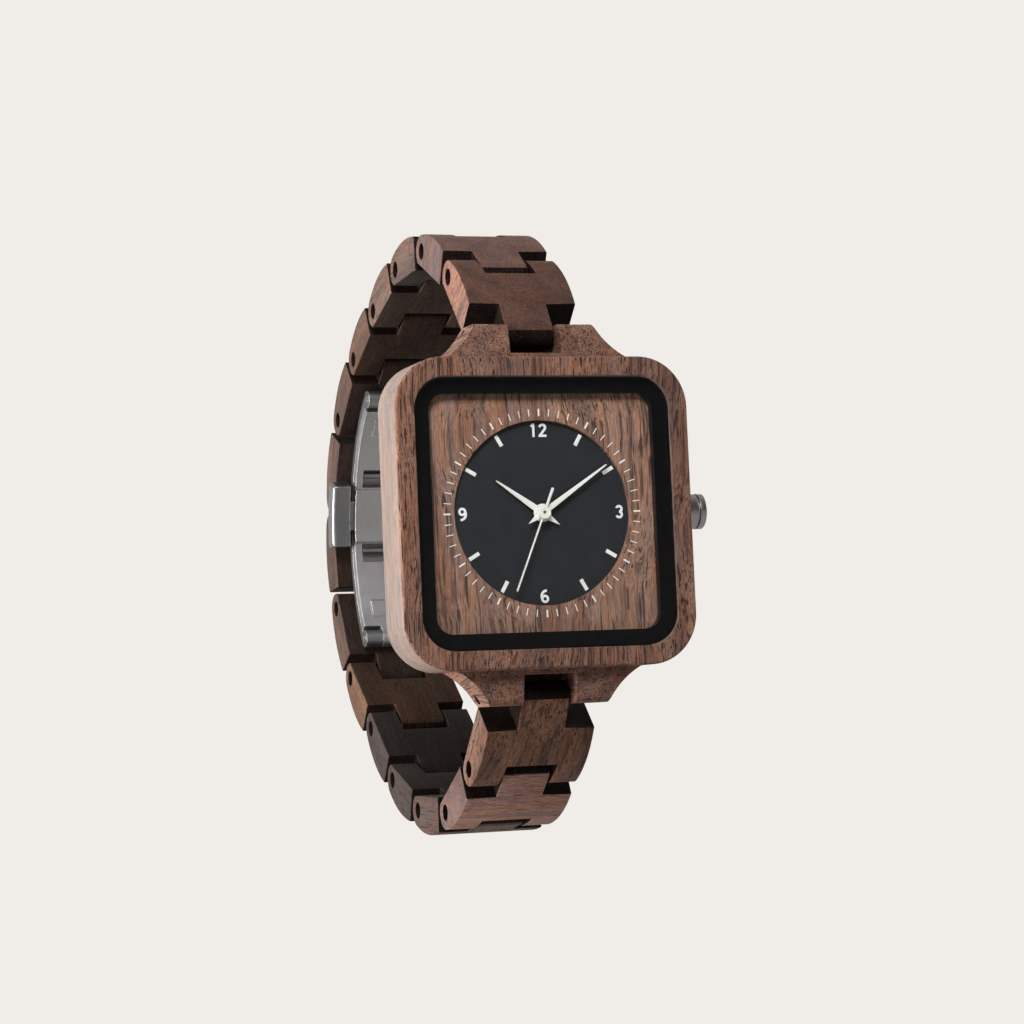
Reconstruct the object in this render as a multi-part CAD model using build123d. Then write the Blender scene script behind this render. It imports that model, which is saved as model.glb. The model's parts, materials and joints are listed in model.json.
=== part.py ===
"""Square wooden wristwatch on a closed wooden link bracelet with a butterfly clasp.

All sizes are in millimetres. The origin is the centre of the case back's flat face.
+Z points to twelve o'clock, +X to the crown, and the dial faces -Y.
A "depth" is measured back from the front face of the wooden case.
In the bracelet's side view, a link's own x runs from its tongue pin to its ear pin
and its own y points out of the ring.
"""
import os
from math import asin, atan2, cos, degrees, hypot, pi, radians, sin

from build123d import *

# Wooden case
case_width = 34.0
case_height = 34.2
case_corner = 5.6
bezel_width = 2.13
opening_corner = 3.7
case_edge_round = 0.3
cavity_corner = 3.0
disc_seat_fit = 0.05

# Lugs, in one piece with the case
lug_reach = 3.9
lug_end_half = 6.9
lug_base_half = 10.7
lug_flare_half = 8.75
lug_flare_share = 0.36
lug_front_depth = 1.4
lug_end_front_depth = 2.1
lug_corner = 0.8
lug_slot_gap = 0.35
lug_slot_floor = 0.55
slot_web_thick = 0.45
slot_web_height = 0.85
lug_pin_reach = 3.1
lug_pin_depth = 5.3

# Case back, its screws and its gasket
back_flange = 0.6
back_seat = 3.1
back_corner = 3.6
back_gap = 0.1
back_rise = 1.2
back_floor = 0.8
back_top_edge = 2.1
back_top_corner = 4.0
back_edge_round = 0.3
gasket_gap = 0.6
gasket_width = 1.1
gasket_thick = 0.3
gasket_fit = 0.05
screw_edge = 1.8
screw_head_radius = 0.85
screw_head_height = 0.3
screw_shank_radius = 0.45
screw_length = 2.4
screw_slot_width = 0.25
screw_slot_depth = 0.15
screw_fit = 0.02

# Crystal, black mask and dial
glazing_fit = 0.06
crystal_recess = 0.15
crystal_thick = 1.0
crystal_bevel = 0.15
mask_thick = 0.95
mask_width = 1.8
mask_corner = 1.9
dial_plate_thick = 0.5
dial_disc_lap = 0.69
dial_disc_thick = 0.4
dial_disc_hole_gap = 0.23

# Markings on the dial
mark_thick = 0.05
tick_count = 60
ticks_per_hour = 5
tick_mask_gap = 1.53
tick_hole_gap = 0.47
tick_length = 0.8
tick_width = 0.1
hour_tick_width = 0.18
baton_gap = 0.285
baton_length = 1.35
baton_width = 0.42
numeral_edge_gap = 0.3
numeral_height = 1.5
numeral_width = 0.92
numeral_stroke = 0.27
numeral_gap = 0.14

# Hands
hand_thick = 0.14
hour_hand_gap = 0.28
minute_hand_gap = 0.19
second_hand_gap = 0.21
hour_hand_short = 3.81
long_hand_short = 0.91
hour_hand_tail = 2.4
minute_hand_tail = 2.2
second_hand_tail = 2.9
hour_hand_width = 0.62
minute_hand_width = 0.56
second_hand_width = 0.14
second_tail_width = 0.26
hand_tip_width = 0.16
hand_shoulder = 1.5
hour_hub_radius = 1.0
minute_hub_radius = 0.85
second_hub_radius = 0.7
second_cap_rise = 0.14
hour_hand_angle = 304.6
minute_hand_angle = 55.7
second_hand_angle = 202.5

# Movement
ring_fit = 0.05
ring_wall = 1.4
ring_back_gap = 0.1
movement_radius = 9.5
movement_fit = 0.1
plate_recess = 0.6
plate_floor = 1.0
plate_recess_gap = 0.1
arbor_radius = 0.2
cannon_radius = 0.42
hour_pipe_radius = 0.72
running_fit = 0.04
motion_offset = 2.4
cannon_teeth = 12
minute_wheel_teeth = 36
minute_pinion_teeth = 10
hour_wheel_teeth = 40
tooth_share = 0.42
addendum_share = 0.7
dedendum_share = 1.0
hour_wheel_gap = 0.08
wheel_thick = 0.18
minute_wheel_gap = 0.06
minute_post_radius = 0.2
train_gap = 0.15
seconds_wheel_radius = 2.3
seconds_wheel_teeth = 60
seconds_wheel_module = 0.075
wheel_rim = 0.45
wheel_hub_radius = 0.6
wheel_spokes = 4
wheel_spoke_width = 0.4
bridge_gap = 0.12
bridge_thick = 0.4
bridge_end = 0.8
bridge_width = 2.2
bridge_post_radius = 0.6
bridge_post_gap = 0.5
bridge_turn = 25.0
battery_radius = 3.4
battery_thick = 2.1
battery_edge_gap = 0.26
battery_angle = 218.05
battery_edge_round = 0.3
strap_thick = 0.15
strap_width = 1.6
strap_overhang = 0.55
strap_gap = 0.35
board_thick = 0.2
board_inner_x = 3.2
board_stem_gap = 0.4
board_bottom_z = -5.0
board_top_z = 3.6
motor_length = 7.0
motor_z = 5.6
motor_coil_radius = 1.1
motor_core_width = 1.8
motor_core_thick = 0.5
motor_end_length = 1.2

# Crown, stem and setting lever
stem_height = 0.4
crown_radius = 2.0
crown_gap = 0.25
crown_length = 3.2
crown_groove_place = 2.2
crown_groove_width = 0.16
crown_groove_depth = 0.22
crown_edge_round = 0.25
crown_bore_gap = 0.12
crown_bore_end = 0.2
crown_boss_radius = 0.9
tube_radius = 1.2
tube_bore_radius = 0.9
tube_fit = 0.02
tube_throat_gap = 0.06
tube_bore_length = 3.5
tube_stand = 0.5
stem_radius = 0.5
stem_reach = 1.9
stem_end_length = 0.4
stem_groove_length = 0.4
stem_groove_radius = 0.3
stem_end_gap = 0.5
crown_pull = 1.0
lever_thick = 0.3
lever_half_width = 1.0
lever_depth_margin = 0.05
gasket_ring_gap = 0.02
gasket_ring_inset = 2.2

# Bracelet links
link_pitch = 10.5
band_half = 6.3
notch_half = 3.0
tongue_gap = 0.3
ear_round = 1.95
tongue_short = 0.1
link_inner_cut = 0.25
shoulder_place = 2.55
shoulder_height = 2.35
arch_radius = 14.5
tongue_blend_place = 6.0
notch_reach = 2.6
link_edge_round = 0.22
link_pin_radius = 0.55
link_pin_fit = 0.05
counterbore_radius = 0.95
counterbore_depth = 1.0
pin_head_rise = 0.15
spring_bar_radius = 0.47
spring_bar_fit = 0.05
spring_bar_half = 7.0
drawn_bar_half = 2.9
upper_bend_shares = (0.284, 0.384, 0.234, 0.098)
lower_bend_shares = (0.217, 0.343, 0.225, 0.207, 0.008)

# Ring of the bracelet behind the case
ring_reach_share = 3.2753
ring_center_z = 0.85
ring_radius_share = 2.4448
ring_tilt = 10.0
end_pin_spacing = 4.15

# Butterfly clasp, curved about the ring's centre
plate_inset = 4.7
plate_thick = 1.0
plate_half = 4.4
plate_sweep = 43.5
plate_tongue_half = 2.2
barrel_radius = 1.1
barrel_gap = 0.15
hinge_pin_radius = 0.45
hinge_pin_fit = 0.03
window_rail = 0.9
window_start = 9.8
window_end = 16.3
stamp_start = 30.0
stamp_end = 36.5
stamp_edge = 1.3
stamp_line = 0.16
stamp_depth = 0.08
housing_sweep = 9.0
housing_drop = 0.4
blade_gap = 0.2
blade_thick = 0.9
blade_tip = 2.9
knuckle_gap = 0.4
knuckle_round = 1.5
knuckle_width = 2.4
upper_rod = 13.7
lower_rod = 12.1
rod_radius = 0.35
rod_drop = 0.6
rod_gap = 0.2
rod_arm_thick = 0.5
rod_arm_width = 0.8

# Clasp push buttons
button_sweep = 10.6
button_drop = 0.3
button_thick = 2.3
button_gap = 0.2
button_edge_round = 0.5
plunger_sweep = 4.9
plunger_place = 0.05
plunger_thick = 0.6
plunger_tip = 1.9
plunger_fit = 0.08
button_travel = 0.5
spring_end_gap = 0.55
spring_folds = 6
spring_sweep = 3.3
spring_wire = 0.14

overrun = 1.0

# Places that follow from the sizes above
half_case = case_height / 2
opening_width = case_width - 2 * bezel_width
opening_height = case_height - 2 * bezel_width

# Depths, from the front to the back
crystal_front = crystal_recess
mask_front = crystal_front + crystal_thick
dial_front = mask_front + mask_thick
disc_front = dial_front + dial_plate_thick
disc_back = disc_front + dial_disc_thick
hour_hand_depth = disc_front - hour_hand_gap - hand_thick
minute_hand_depth = hour_hand_depth - minute_hand_gap - hand_thick
second_hand_depth = minute_hand_depth - second_hand_gap - hand_thick
hour_wheel_depth = disc_back + hour_wheel_gap
minute_wheel_depth = hour_wheel_depth + wheel_thick + minute_wheel_gap
plate_front_depth = disc_back + plate_recess
plate_back_depth = plate_front_depth + plate_floor
train_depth = plate_back_depth + train_gap
bridge_depth = train_depth + wheel_thick + bridge_gap
crown_depth = plate_back_depth - stem_height
strap_back_depth = plate_back_depth + battery_thick + strap_thick
back_pocket_depth = strap_back_depth + strap_gap
total_depth = back_pocket_depth + back_floor
case_depth = total_depth - back_rise
back_recess_depth = case_depth - back_flange
gasket_depth = back_recess_depth - gasket_thick
ring_back_depth = back_recess_depth - ring_back_gap

# Circles of the dial, from the mask's window inward
mask_window_half = min(opening_width, opening_height) / 2 - glazing_fit - mask_width
tick_radius = mask_window_half - tick_mask_gap - tick_length / 2
dial_hole_radius = tick_radius - tick_length / 2 - tick_hole_gap
dial_disc_radius = dial_hole_radius + dial_disc_lap
dial_disc_hole_radius = hour_pipe_radius + dial_disc_hole_gap
baton_radius = dial_hole_radius - baton_gap - baton_length / 2
numeral_radius = dial_hole_radius - numeral_edge_gap - numeral_height / 2
hour_hand_length = dial_hole_radius - hour_hand_short
long_hand_length = dial_hole_radius - long_hand_short

# Cavity, gasket, back and screws, from the movement outward
cavity_size = 2 * (movement_radius + movement_fit + ring_wall)
gasket_outer_size = cavity_size + 2 * (gasket_gap + gasket_width)
back_size = cavity_size + 2 * back_seat
back_top_size = back_size - 2 * back_top_edge
screw_spread = back_size / 2 - screw_edge

# Places in the movement
plate_recess_radius = 2 * motion_offset + plate_recess_gap
bridge_post_spread = seconds_wheel_radius + bridge_post_gap + bridge_post_radius
bridge_length = 2 * (bridge_post_spread + bridge_end)
battery_reach = movement_radius - battery_edge_gap - battery_radius
battery_x = battery_reach * sin(radians(battery_angle))
battery_z = battery_reach * cos(radians(battery_angle))
stem_inner_x = movement_radius - stem_reach
stem_groove_x = stem_inner_x + stem_end_length
board_outer_x = stem_inner_x - board_stem_gap

# Crown and its ring
crown_start = case_width / 2 + crown_gap
crown_end = crown_start + crown_length
crown_bore_length = crown_pull + crown_bore_end
gasket_ring_radius = (stem_radius + tube_bore_radius) / 2
gasket_ring_wire = (tube_bore_radius - stem_radius) / 2 - gasket_ring_gap

# Lugs and links
lug_pin_y = lug_pin_depth - total_depth
lug_pin_z = half_case + lug_pin_reach
tongue_half = notch_half - tongue_gap
tongue_round = ear_round - tongue_short
link_inner = ear_round - link_inner_cut
lug_slot_half = tongue_half + lug_slot_gap
lug_hole_radius = spring_bar_radius + spring_bar_fit

# Ring and clasp
ring_center_y = lug_pin_y + ring_reach_share * link_pitch
ring_radius = ring_radius_share * link_pitch
plate_inner_radius = ring_radius - plate_inset
plate_outer_radius = plate_inner_radius + plate_thick
blade_inner_radius = plate_outer_radius + blade_gap
blade_outer_radius = blade_inner_radius + blade_thick
barrel_place_radius = (plate_inner_radius + blade_outer_radius) / 2
blade_half = plate_half
window_half = plate_half - window_rail
stamp_half = plate_half - stamp_edge
rod_place_radius = plate_inner_radius + rod_drop
rod_half = window_half - rod_gap
knuckle_half = notch_half - knuckle_gap
button_inner_radius = plate_inner_radius - button_drop
button_outer_radius = blade_outer_radius
button_root = plate_half + button_travel + button_gap
button_face = button_root + button_thick
plunger_inner_radius = plate_inner_radius + plunger_place
spring_half = plunger_tip - spring_end_gap


def at_depth(depth):
    """Place along Y of a depth behind the case's front face."""
    return depth - total_depth


def facing(depth):
    """Plane at a depth, seen from the front: x to three o'clock, y to twelve."""
    return Plane(origin=(0, at_depth(depth), 0), x_dir=(1, 0, 0), z_dir=(0, -1, 0))


def layer(outline, front, back):
    """Solid between two depths whose front view is the outline."""
    return extrude(facing(back) * outline, amount=back - front)


def slab(width, height, corner, front, back):
    """Rounded rectangle between two depths."""
    return layer(RectangleRounded(width, height, corner), front, back)


def disc(radius, front, back, x=0, z=0):
    """Round plate between two depths."""
    return layer(Pos(x, z) * Circle(radius), front, back)


def block(left, right, bottom, top, front, back):
    """Rectangular block between two depths."""
    outline = Pos((left + right) / 2, (bottom + top) / 2) * Rectangle(right - left, top - bottom)
    return layer(outline, front, back)


def rod_x(radius, left, right, y, z):
    """Round rod along X."""
    plane = Plane(origin=(left, y, z), x_dir=(0, 1, 0), z_dir=(1, 0, 0))
    return extrude(plane * Circle(radius), amount=right - left)


def side_solid(outline, left, right):
    """Solid between two places along X whose side view (y, z) is the outline."""
    plane = Plane(origin=(left, 0, 0), x_dir=(0, 1, 0), z_dir=(1, 0, 0))
    return extrude(plane * outline, amount=right - left)


def polar(radius, angle):
    """Point (x, z) on the dial, clockwise from twelve."""
    return radius * sin(radians(angle)), radius * cos(radians(angle))


def save(shape, name, color):
    """Write one sub-part and print its name."""
    shape.label = name
    shape.color = Color(*color)
    export_step(shape, f"parts/{name}.step")
    print(name, len(shape.solids()), round(shape.volume, 3))


# Case and glazing

def lug_front_outline():
    """Front view of both lugs: straight ends, sides flared into the case."""
    base = half_case - bezel_width
    end = half_case + lug_reach
    flare_z = half_case + lug_flare_share * lug_reach
    right_side = ThreePointArc((lug_base_half, half_case), (lug_flare_half, flare_z), (lug_end_half, end))
    left_side = ThreePointArc((-lug_end_half, end), (-lug_flare_half, flare_z), (-lug_base_half, half_case))
    edges = [
        Line((-lug_base_half, base), (lug_base_half, base)),
        Line((lug_base_half, base), (lug_base_half, half_case)),
        right_side,
        Line((lug_end_half, end), (-lug_end_half, end)),
        left_side,
        Line((-lug_base_half, half_case), (-lug_base_half, base)),
    ]
    return make_face(Curve() + edges)


def lug_side_outline():
    """Side view of the upper lug, with its rounded end."""
    base = half_case - bezel_width
    end = half_case + lug_reach
    front = at_depth(lug_front_depth)
    end_front = at_depth(lug_end_front_depth)
    back = at_depth(case_depth)
    corners = [
        (front, base),
        (front, half_case),
        (end_front, end),
        (back, end),
        (back, base),
    ]
    outline = make_face(Polyline(*corners, close=True))
    outer_corners = outline.vertices().group_by(Axis.Y)[-1]
    return fillet(outer_corners, lug_corner)


def upper_lug():
    """Upper lug with its slot and its pin hole."""
    lug = layer(lug_front_outline(), lug_front_depth, case_depth)
    lug = lug & side_solid(lug_side_outline(), -lug_base_half, lug_base_half)
    slot_floor = half_case + lug_slot_floor
    slot_end = half_case + lug_reach + overrun
    web_front = case_depth - slot_web_thick
    lug -= block(-lug_slot_half, lug_slot_half, slot_floor, slot_end, -overrun, web_front)
    lug -= block(-lug_slot_half, lug_slot_half, slot_floor + slot_web_height, slot_end,
                 web_front, case_depth + overrun)
    lug -= rod_x(lug_hole_radius, -lug_base_half - overrun, lug_base_half + overrun, lug_pin_y, lug_pin_z)
    return lug


def case_frame():
    """Wooden case with both lugs, its front pocket, its cavity and the back's recess."""
    body = slab(case_width, case_height, case_corner, 0, case_depth)
    rims = body.edges().filter_by(lambda e: abs(e.center().Y - at_depth(0)) < case_edge_round / 2)
    body = fillet(rims, case_edge_round)
    rims = body.edges().filter_by(lambda e: abs(e.center().Y - at_depth(case_depth)) < case_edge_round / 2)
    body = fillet(rims, case_edge_round)
    lug = upper_lug()
    body += lug
    body += mirror(lug, about=Plane.XY)
    body -= slab(opening_width, opening_height, opening_corner, -overrun, disc_front)
    body -= disc(dial_disc_radius + disc_seat_fit, 0, disc_back)
    body -= slab(cavity_size, cavity_size, cavity_corner, -overrun, case_depth + overrun)
    recess = back_size + 2 * back_gap
    body -= slab(recess, recess, back_corner + back_gap, back_recess_depth, case_depth + overrun)
    body -= slab(gasket_outer_size, gasket_outer_size, cavity_corner, gasket_depth, case_depth + overrun)
    body -= rod_x(tube_radius + tube_fit, 0, case_width, at_depth(crown_depth), 0)
    for x, z in screw_places():
        body -= disc(screw_shank_radius + screw_fit, back_recess_depth - screw_length, case_depth, x, z)
    return body


def screw_places():
    """Front-view places of the four back screws."""
    return [(sx * screw_spread, sz * screw_spread) for sx in (-1, 1) for sz in (-1, 1)]


def case_back():
    """Steel back: a flange in the recess, a raised square, a pocket inside and four screw holes."""
    back = slab(back_size, back_size, back_corner, back_recess_depth, case_depth)
    raised = slab(back_top_size, back_top_size, back_top_corner, case_depth - back_gap, total_depth)
    rims = raised.edges().filter_by(lambda e: abs(e.center().Y) < back_edge_round / 2)
    back += chamfer(rims, back_edge_round)
    back -= disc(movement_radius + movement_fit, 0, back_pocket_depth)
    for x, z in screw_places():
        back -= disc(screw_head_radius + screw_fit, case_depth - screw_head_height, total_depth, x, z)
        back -= disc(screw_shank_radius + screw_fit, 0, total_depth, x, z)
    return back


def back_screws():
    """Four slotted screws through the back into the wood."""
    screws = []
    for x, z in screw_places():
        head_front = case_depth - screw_head_height
        screw = disc(screw_head_radius, head_front, case_depth, x, z)
        screw += disc(screw_shank_radius, back_recess_depth - screw_length + screw_fit, head_front, x, z)
        screw -= block(x - screw_head_radius - overrun, x + screw_head_radius + overrun,
                       z - screw_slot_width / 2, z + screw_slot_width / 2,
                       case_depth - screw_slot_depth, case_depth + overrun)
        screws.append(screw)
    return Compound(children=screws)


def back_gasket():
    """Flat rubber frame in its groove under the back."""
    outer = gasket_outer_size - 2 * gasket_fit
    inner = gasket_outer_size - 2 * gasket_width
    corner = cavity_corner - gasket_fit
    ring = slab(outer, outer, corner, gasket_depth + screw_fit, back_recess_depth)
    return ring - slab(inner, inner, cavity_corner - gasket_width, 0, case_depth)


def glazing_slab(front, back):
    """Slab that fits the case's front pocket."""
    fit = 2 * glazing_fit
    return slab(opening_width - fit, opening_height - fit, opening_corner - glazing_fit, front, back)


def crystal():
    """Flat glass with a bevelled front edge."""
    glass = glazing_slab(crystal_front, mask_front)
    front_y = at_depth(crystal_front)
    rims = glass.edges().filter_by(lambda e: abs(e.center().Y - front_y) < crystal_bevel / 2)
    return chamfer(rims, crystal_bevel)


def dial_mask():
    """Black frame between the glass and the wooden dial plate."""
    frame = glazing_slab(mask_front, dial_front)
    fit = 2 * (glazing_fit + mask_width)
    return frame - slab(opening_width - fit, opening_height - fit, mask_corner, 0, case_depth)


def dial_plate():
    """Thin wooden dial plate with its round window."""
    return glazing_slab(dial_front, disc_front) - disc(dial_hole_radius, 0, case_depth)


def dial_disc():
    """Dark disc behind the wooden plate, with the hole for the hands' pipes."""
    return disc(dial_disc_radius, disc_front, disc_back) - disc(dial_disc_hole_radius, 0, case_depth)


def radial_mark(radius, length, width, angle, front, back):
    """Small bar on the dial that points to the centre."""
    return layer(Rot(0, 0, -angle) * Pos(0, radius) * Rectangle(width, length), front, back)


def digit_one():
    """Strokes of a plain 1."""
    top, flag = numeral_height / 2, numeral_width / 3
    stem = Rectangle(numeral_stroke, numeral_height)
    arm = trace(Line((0, top - numeral_stroke / 2), (-flag, top - flag)), numeral_stroke * 0.8)
    return [stem + arm]


def digit_two():
    """Strokes of a plain 2."""
    half_w, half_h, w = numeral_width / 2, numeral_height / 2, numeral_stroke
    r = half_w - w / 2
    bowl = CenterArc((0, half_h - w / 2 - r), r, 170, -205)
    foot = Line(bowl @ 1, (-r, -half_h + w / 2))
    base = Line((-half_w, -half_h + w / 2), (half_w, -half_h + w / 2))
    return [trace(bowl, w) + trace(foot, w) + trace(base, w)]


def digit_three():
    """Strokes of a plain 3."""
    half_h, w = numeral_height / 2, numeral_stroke
    r = (half_h - w / 2) / 2
    upper = CenterArc((0, r), r, 160, -250)
    lower = CenterArc((0, -r), r, 90, -250)
    return [trace(upper, w) + trace(lower, w)]


def digit_six():
    """Strokes of a plain 6."""
    half_w, half_h, w = numeral_width / 2, numeral_height / 2, numeral_stroke
    r = half_w - w / 2
    low = -half_h + w / 2 + r
    bowl = Pos(0, low) * (Circle(half_w) - Circle(half_w - w))
    tail = ThreePointArc((-r, low), (-r * 0.6, half_h * 0.6), (r * 0.7, half_h - w / 2))
    return [bowl + trace(tail, w)]


def numerals():
    """Outlines of the dial's plain numbers, as (outline, angle on the dial)."""
    spread = (numeral_width + numeral_gap) / 2
    twelve = [(Pos(-spread, 0) * digit_one()[0], 0), (Pos(spread, 0) * digit_two()[0], 0)]
    nine = Rot(0, 0, 180) * digit_six()[0]
    return twelve + [(digit_three()[0], 90), (digit_six()[0], 180), (nine, 270)]


def dial_markers():
    """White minute ticks on the wood, and batons and numbers on the dark disc."""
    marks = []
    for i in range(tick_count):
        width = hour_tick_width if i % ticks_per_hour == 0 else tick_width
        marks.append(radial_mark(tick_radius, tick_length, width, 360 * i / tick_count,
                                 dial_front - mark_thick, dial_front))
    for hour in (1, 2, 4, 5, 7, 8, 10, 11):
        marks.append(radial_mark(baton_radius, baton_length, baton_width, 30 * hour,
                                 disc_front - mark_thick, disc_front))
    for outline, angle in numerals():
        x, z = polar(numeral_radius, angle)
        marks.extend(layer(Pos(x, z) * outline, disc_front - mark_thick, disc_front).solids())
    return Compound(children=marks)


# Hands and the wheels that carry them

def hand_outline(length, tail, width):
    """Dauphine hand along +y: a long tapered blade and a short pointed tail."""
    points = [
        (0, -tail),
        (width / 2, -tail * hand_shoulder / (tail + hand_shoulder)),
        (width / 2, hand_shoulder),
        (hand_tip_width / 2, length - hand_tip_width),
        (0, length),
        (-hand_tip_width / 2, length - hand_tip_width),
        (-width / 2, hand_shoulder),
        (-width / 2, -tail * hand_shoulder / (tail + hand_shoulder)),
    ]
    return make_face(Polyline(*points, close=True))


def hand(outline, hub_radius, bore_radius, angle, depth):
    """Hand with a round hub and its bore, turned to an angle on the dial."""
    blade = Rot(0, 0, -angle) * (outline + Circle(hub_radius) - Circle(bore_radius))
    return layer(blade, depth, depth + hand_thick)


def hour_hand():
    """Short hand on the hour wheel's pipe."""
    outline = hand_outline(hour_hand_length, hour_hand_tail, hour_hand_width)
    return hand(outline, hour_hub_radius, hour_pipe_radius, hour_hand_angle, hour_hand_depth)


def minute_hand():
    """Long hand on the cannon pinion."""
    outline = hand_outline(long_hand_length, minute_hand_tail, minute_hand_width)
    return hand(outline, minute_hub_radius, cannon_radius, minute_hand_angle, minute_hand_depth)


def second_hand():
    """Slim seconds hand with a bar tail and a small cap around the arbor's end."""
    slim = Pos(0, long_hand_length / 2) * Rectangle(second_hand_width, long_hand_length)
    tail = Pos(0, -second_hand_tail / 2) * Rectangle(second_tail_width, second_hand_tail)
    blade = hand(slim + tail, second_hub_radius, arbor_radius, second_hand_angle, second_hand_depth)
    cap = disc(second_hub_radius, second_hand_depth - second_cap_rise, second_hand_depth)
    return blade + (cap - disc(arbor_radius, 0, case_depth))


def gear_outline(teeth, module, phase):
    """Wheel outline with straight-sided teeth; phase turns it by a share of one tooth."""
    pitch_radius = module * teeth / 2
    tip = pitch_radius + addendum_share * module
    root = pitch_radius - dedendum_share * module
    step = 360 / teeth
    points = []
    for i in range(teeth):
        start = (i + phase) * step
        for radius, share in ((root, -1.3), (tip, -0.7), (tip, 0.7), (root, 1.3)):
            points.append(polar(radius, start + share * tooth_share * step / 2))
    return make_face(Polyline(*points, close=True))


def spoke_windows(outer, inner):
    """Openings between a wheel's spokes."""
    ring = Circle(outer) - Circle(inner)
    for i in range(wheel_spokes):
        ring -= Rot(0, 0, 180 * i / wheel_spokes) * Rectangle(wheel_spoke_width, 2 * (outer + inner))
    return ring


def hour_wheel():
    """Toothed hour wheel and the pipe that carries the hour hand."""
    module = 2 * motion_offset / (minute_pinion_teeth + hour_wheel_teeth)
    wheel = layer(gear_outline(hour_wheel_teeth, module, 0), hour_wheel_depth, hour_wheel_depth + wheel_thick)
    pipe = disc(hour_pipe_radius - running_fit / 4, hour_hand_depth, hour_wheel_depth)
    return wheel + pipe - disc(cannon_radius + running_fit, 0, case_depth)


def cannon_pinion():
    """Cannon pinion that carries the minute hand."""
    module = 2 * motion_offset / (cannon_teeth + minute_wheel_teeth)
    pinion = layer(gear_outline(cannon_teeth, module, 0), minute_wheel_depth, minute_wheel_depth + wheel_thick)
    pipe = disc(cannon_radius - running_fit / 4, minute_hand_depth, minute_wheel_depth)
    return pinion + pipe - disc(arbor_radius + running_fit, 0, case_depth)


def minute_wheel():
    """Intermediate wheel and pinion between the cannon pinion and the hour wheel."""
    wheel_module = 2 * motion_offset / (cannon_teeth + minute_wheel_teeth)
    pinion_module = 2 * motion_offset / (minute_pinion_teeth + hour_wheel_teeth)
    wheel = gear_outline(minute_wheel_teeth, wheel_module, 0.5)
    pinion = gear_outline(minute_pinion_teeth, pinion_module, 0.5)
    place = Pos(0, motion_offset)
    gears = layer(place * wheel, minute_wheel_depth, minute_wheel_depth + wheel_thick)
    gears += layer(place * pinion, hour_wheel_depth, minute_wheel_depth)
    return gears - disc(minute_post_radius + running_fit, 0, case_depth, 0, motion_offset)


def seconds_wheel():
    """Spoked seconds wheel on the long arbor that carries the seconds hand."""
    outline = gear_outline(seconds_wheel_teeth, seconds_wheel_module, 0)
    outline -= spoke_windows(seconds_wheel_radius - wheel_rim, wheel_hub_radius)
    wheel = layer(outline, train_depth, train_depth + wheel_thick)
    arbor_back = bridge_depth + bridge_thick
    return wheel + disc(arbor_radius - running_fit / 4, second_hand_depth, arbor_back)


# Movement

def movement_ring():
    """Moulded ring that fills the case's cavity and holds the movement."""
    size = cavity_size - 2 * ring_fit
    ring = slab(size, size, cavity_corner - ring_fit, disc_back, ring_back_depth)
    ring -= disc(movement_radius + movement_fit, 0, case_depth)
    return ring - rod_x(stem_radius + movement_fit, 0, case_width, at_depth(crown_depth), 0)


def main_plate():
    """Movement plate with the motion work's recess, its post and the stem's channel."""
    plate = disc(movement_radius, disc_back, plate_back_depth)
    plate -= disc(plate_recess_radius, 0, plate_front_depth)
    plate += disc(minute_post_radius, hour_wheel_depth, plate_back_depth, 0, motion_offset)
    plate -= disc(arbor_radius + running_fit, 0, case_depth)
    channel = lever_half_width + running_fit
    plate -= block(stem_inner_x - stem_end_gap, movement_radius + overrun, -channel, channel, 0, case_depth)
    return plate


def train_bridge():
    """Bridge over the seconds wheel, on two posts, with the arbor's back bearing."""
    outline = RectangleRounded(bridge_length, bridge_width, bridge_width / 3)
    bridge = layer(Rot(0, 0, -bridge_turn) * outline, bridge_depth, bridge_depth + bridge_thick)
    for side in (-1, 1):
        x, z = polar(side * bridge_post_spread, 90 + bridge_turn)
        bridge += disc(bridge_post_radius, plate_back_depth, bridge_depth, x, z)
    return bridge - disc(arbor_radius + running_fit, 0, case_depth)


def battery():
    """Button cell with its rounded can."""
    back = plate_back_depth + battery_thick
    cell = disc(battery_radius, plate_back_depth, back, battery_x, battery_z)
    rims = cell.edges().filter_by(lambda e: abs(e.center().Y - at_depth(back)) < battery_edge_round / 2)
    return fillet(rims, battery_edge_round)


def battery_strap():
    """Spring strap over the cell, with two feet down to the plate."""
    back = plate_back_depth + battery_thick
    half = battery_radius + strap_overhang
    strap = block(-half, half, -strap_width / 2, strap_width / 2, back, back + strap_thick)
    for side in (-1, 1):
        inner, outer = sorted((side * half, side * (half - strap_thick)))
        strap += block(inner, outer, -strap_width / 2, strap_width / 2, plate_back_depth, back)
    across = degrees(atan2(-battery_x, -battery_z))
    return Pos(battery_x, 0, battery_z) * Rot(0, across, 0) * strap


def circuit_board():
    """Small circuit board on the plate beside the train."""
    width, height = board_outer_x - board_inner_x, board_top_z - board_bottom_z
    middle = Pos((board_inner_x + board_outer_x) / 2, (board_bottom_z + board_top_z) / 2)
    board = middle * RectangleRounded(width, height, board_thick)
    notch = Rot(0, 0, -bridge_turn) * Rectangle(bridge_length + board_thick, bridge_width + 2 * board_thick)
    return layer(board - notch, plate_back_depth, plate_back_depth + board_thick)


def step_motor():
    """Step motor: wound coil between two core ends on the plate."""
    half = motor_length / 2
    coil_y = at_depth(plate_back_depth) + motor_coil_radius + motor_core_thick / 2
    coil = rod_x(motor_coil_radius, -half + motor_end_length, half - motor_end_length, coil_y, motor_z)
    core = rod_x(motor_core_thick, -half, half, coil_y, motor_z)
    ends = Part()
    for side in (-1, 1):
        inner, outer = sorted((side * half, side * (half - motor_end_length)))
        ends += block(inner, outer, motor_z - motor_core_width / 2, motor_z + motor_core_width / 2,
                      plate_back_depth, coil_y + total_depth + motor_core_thick)
    return coil + core + ends


# Crown, stem and setting lever

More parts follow.
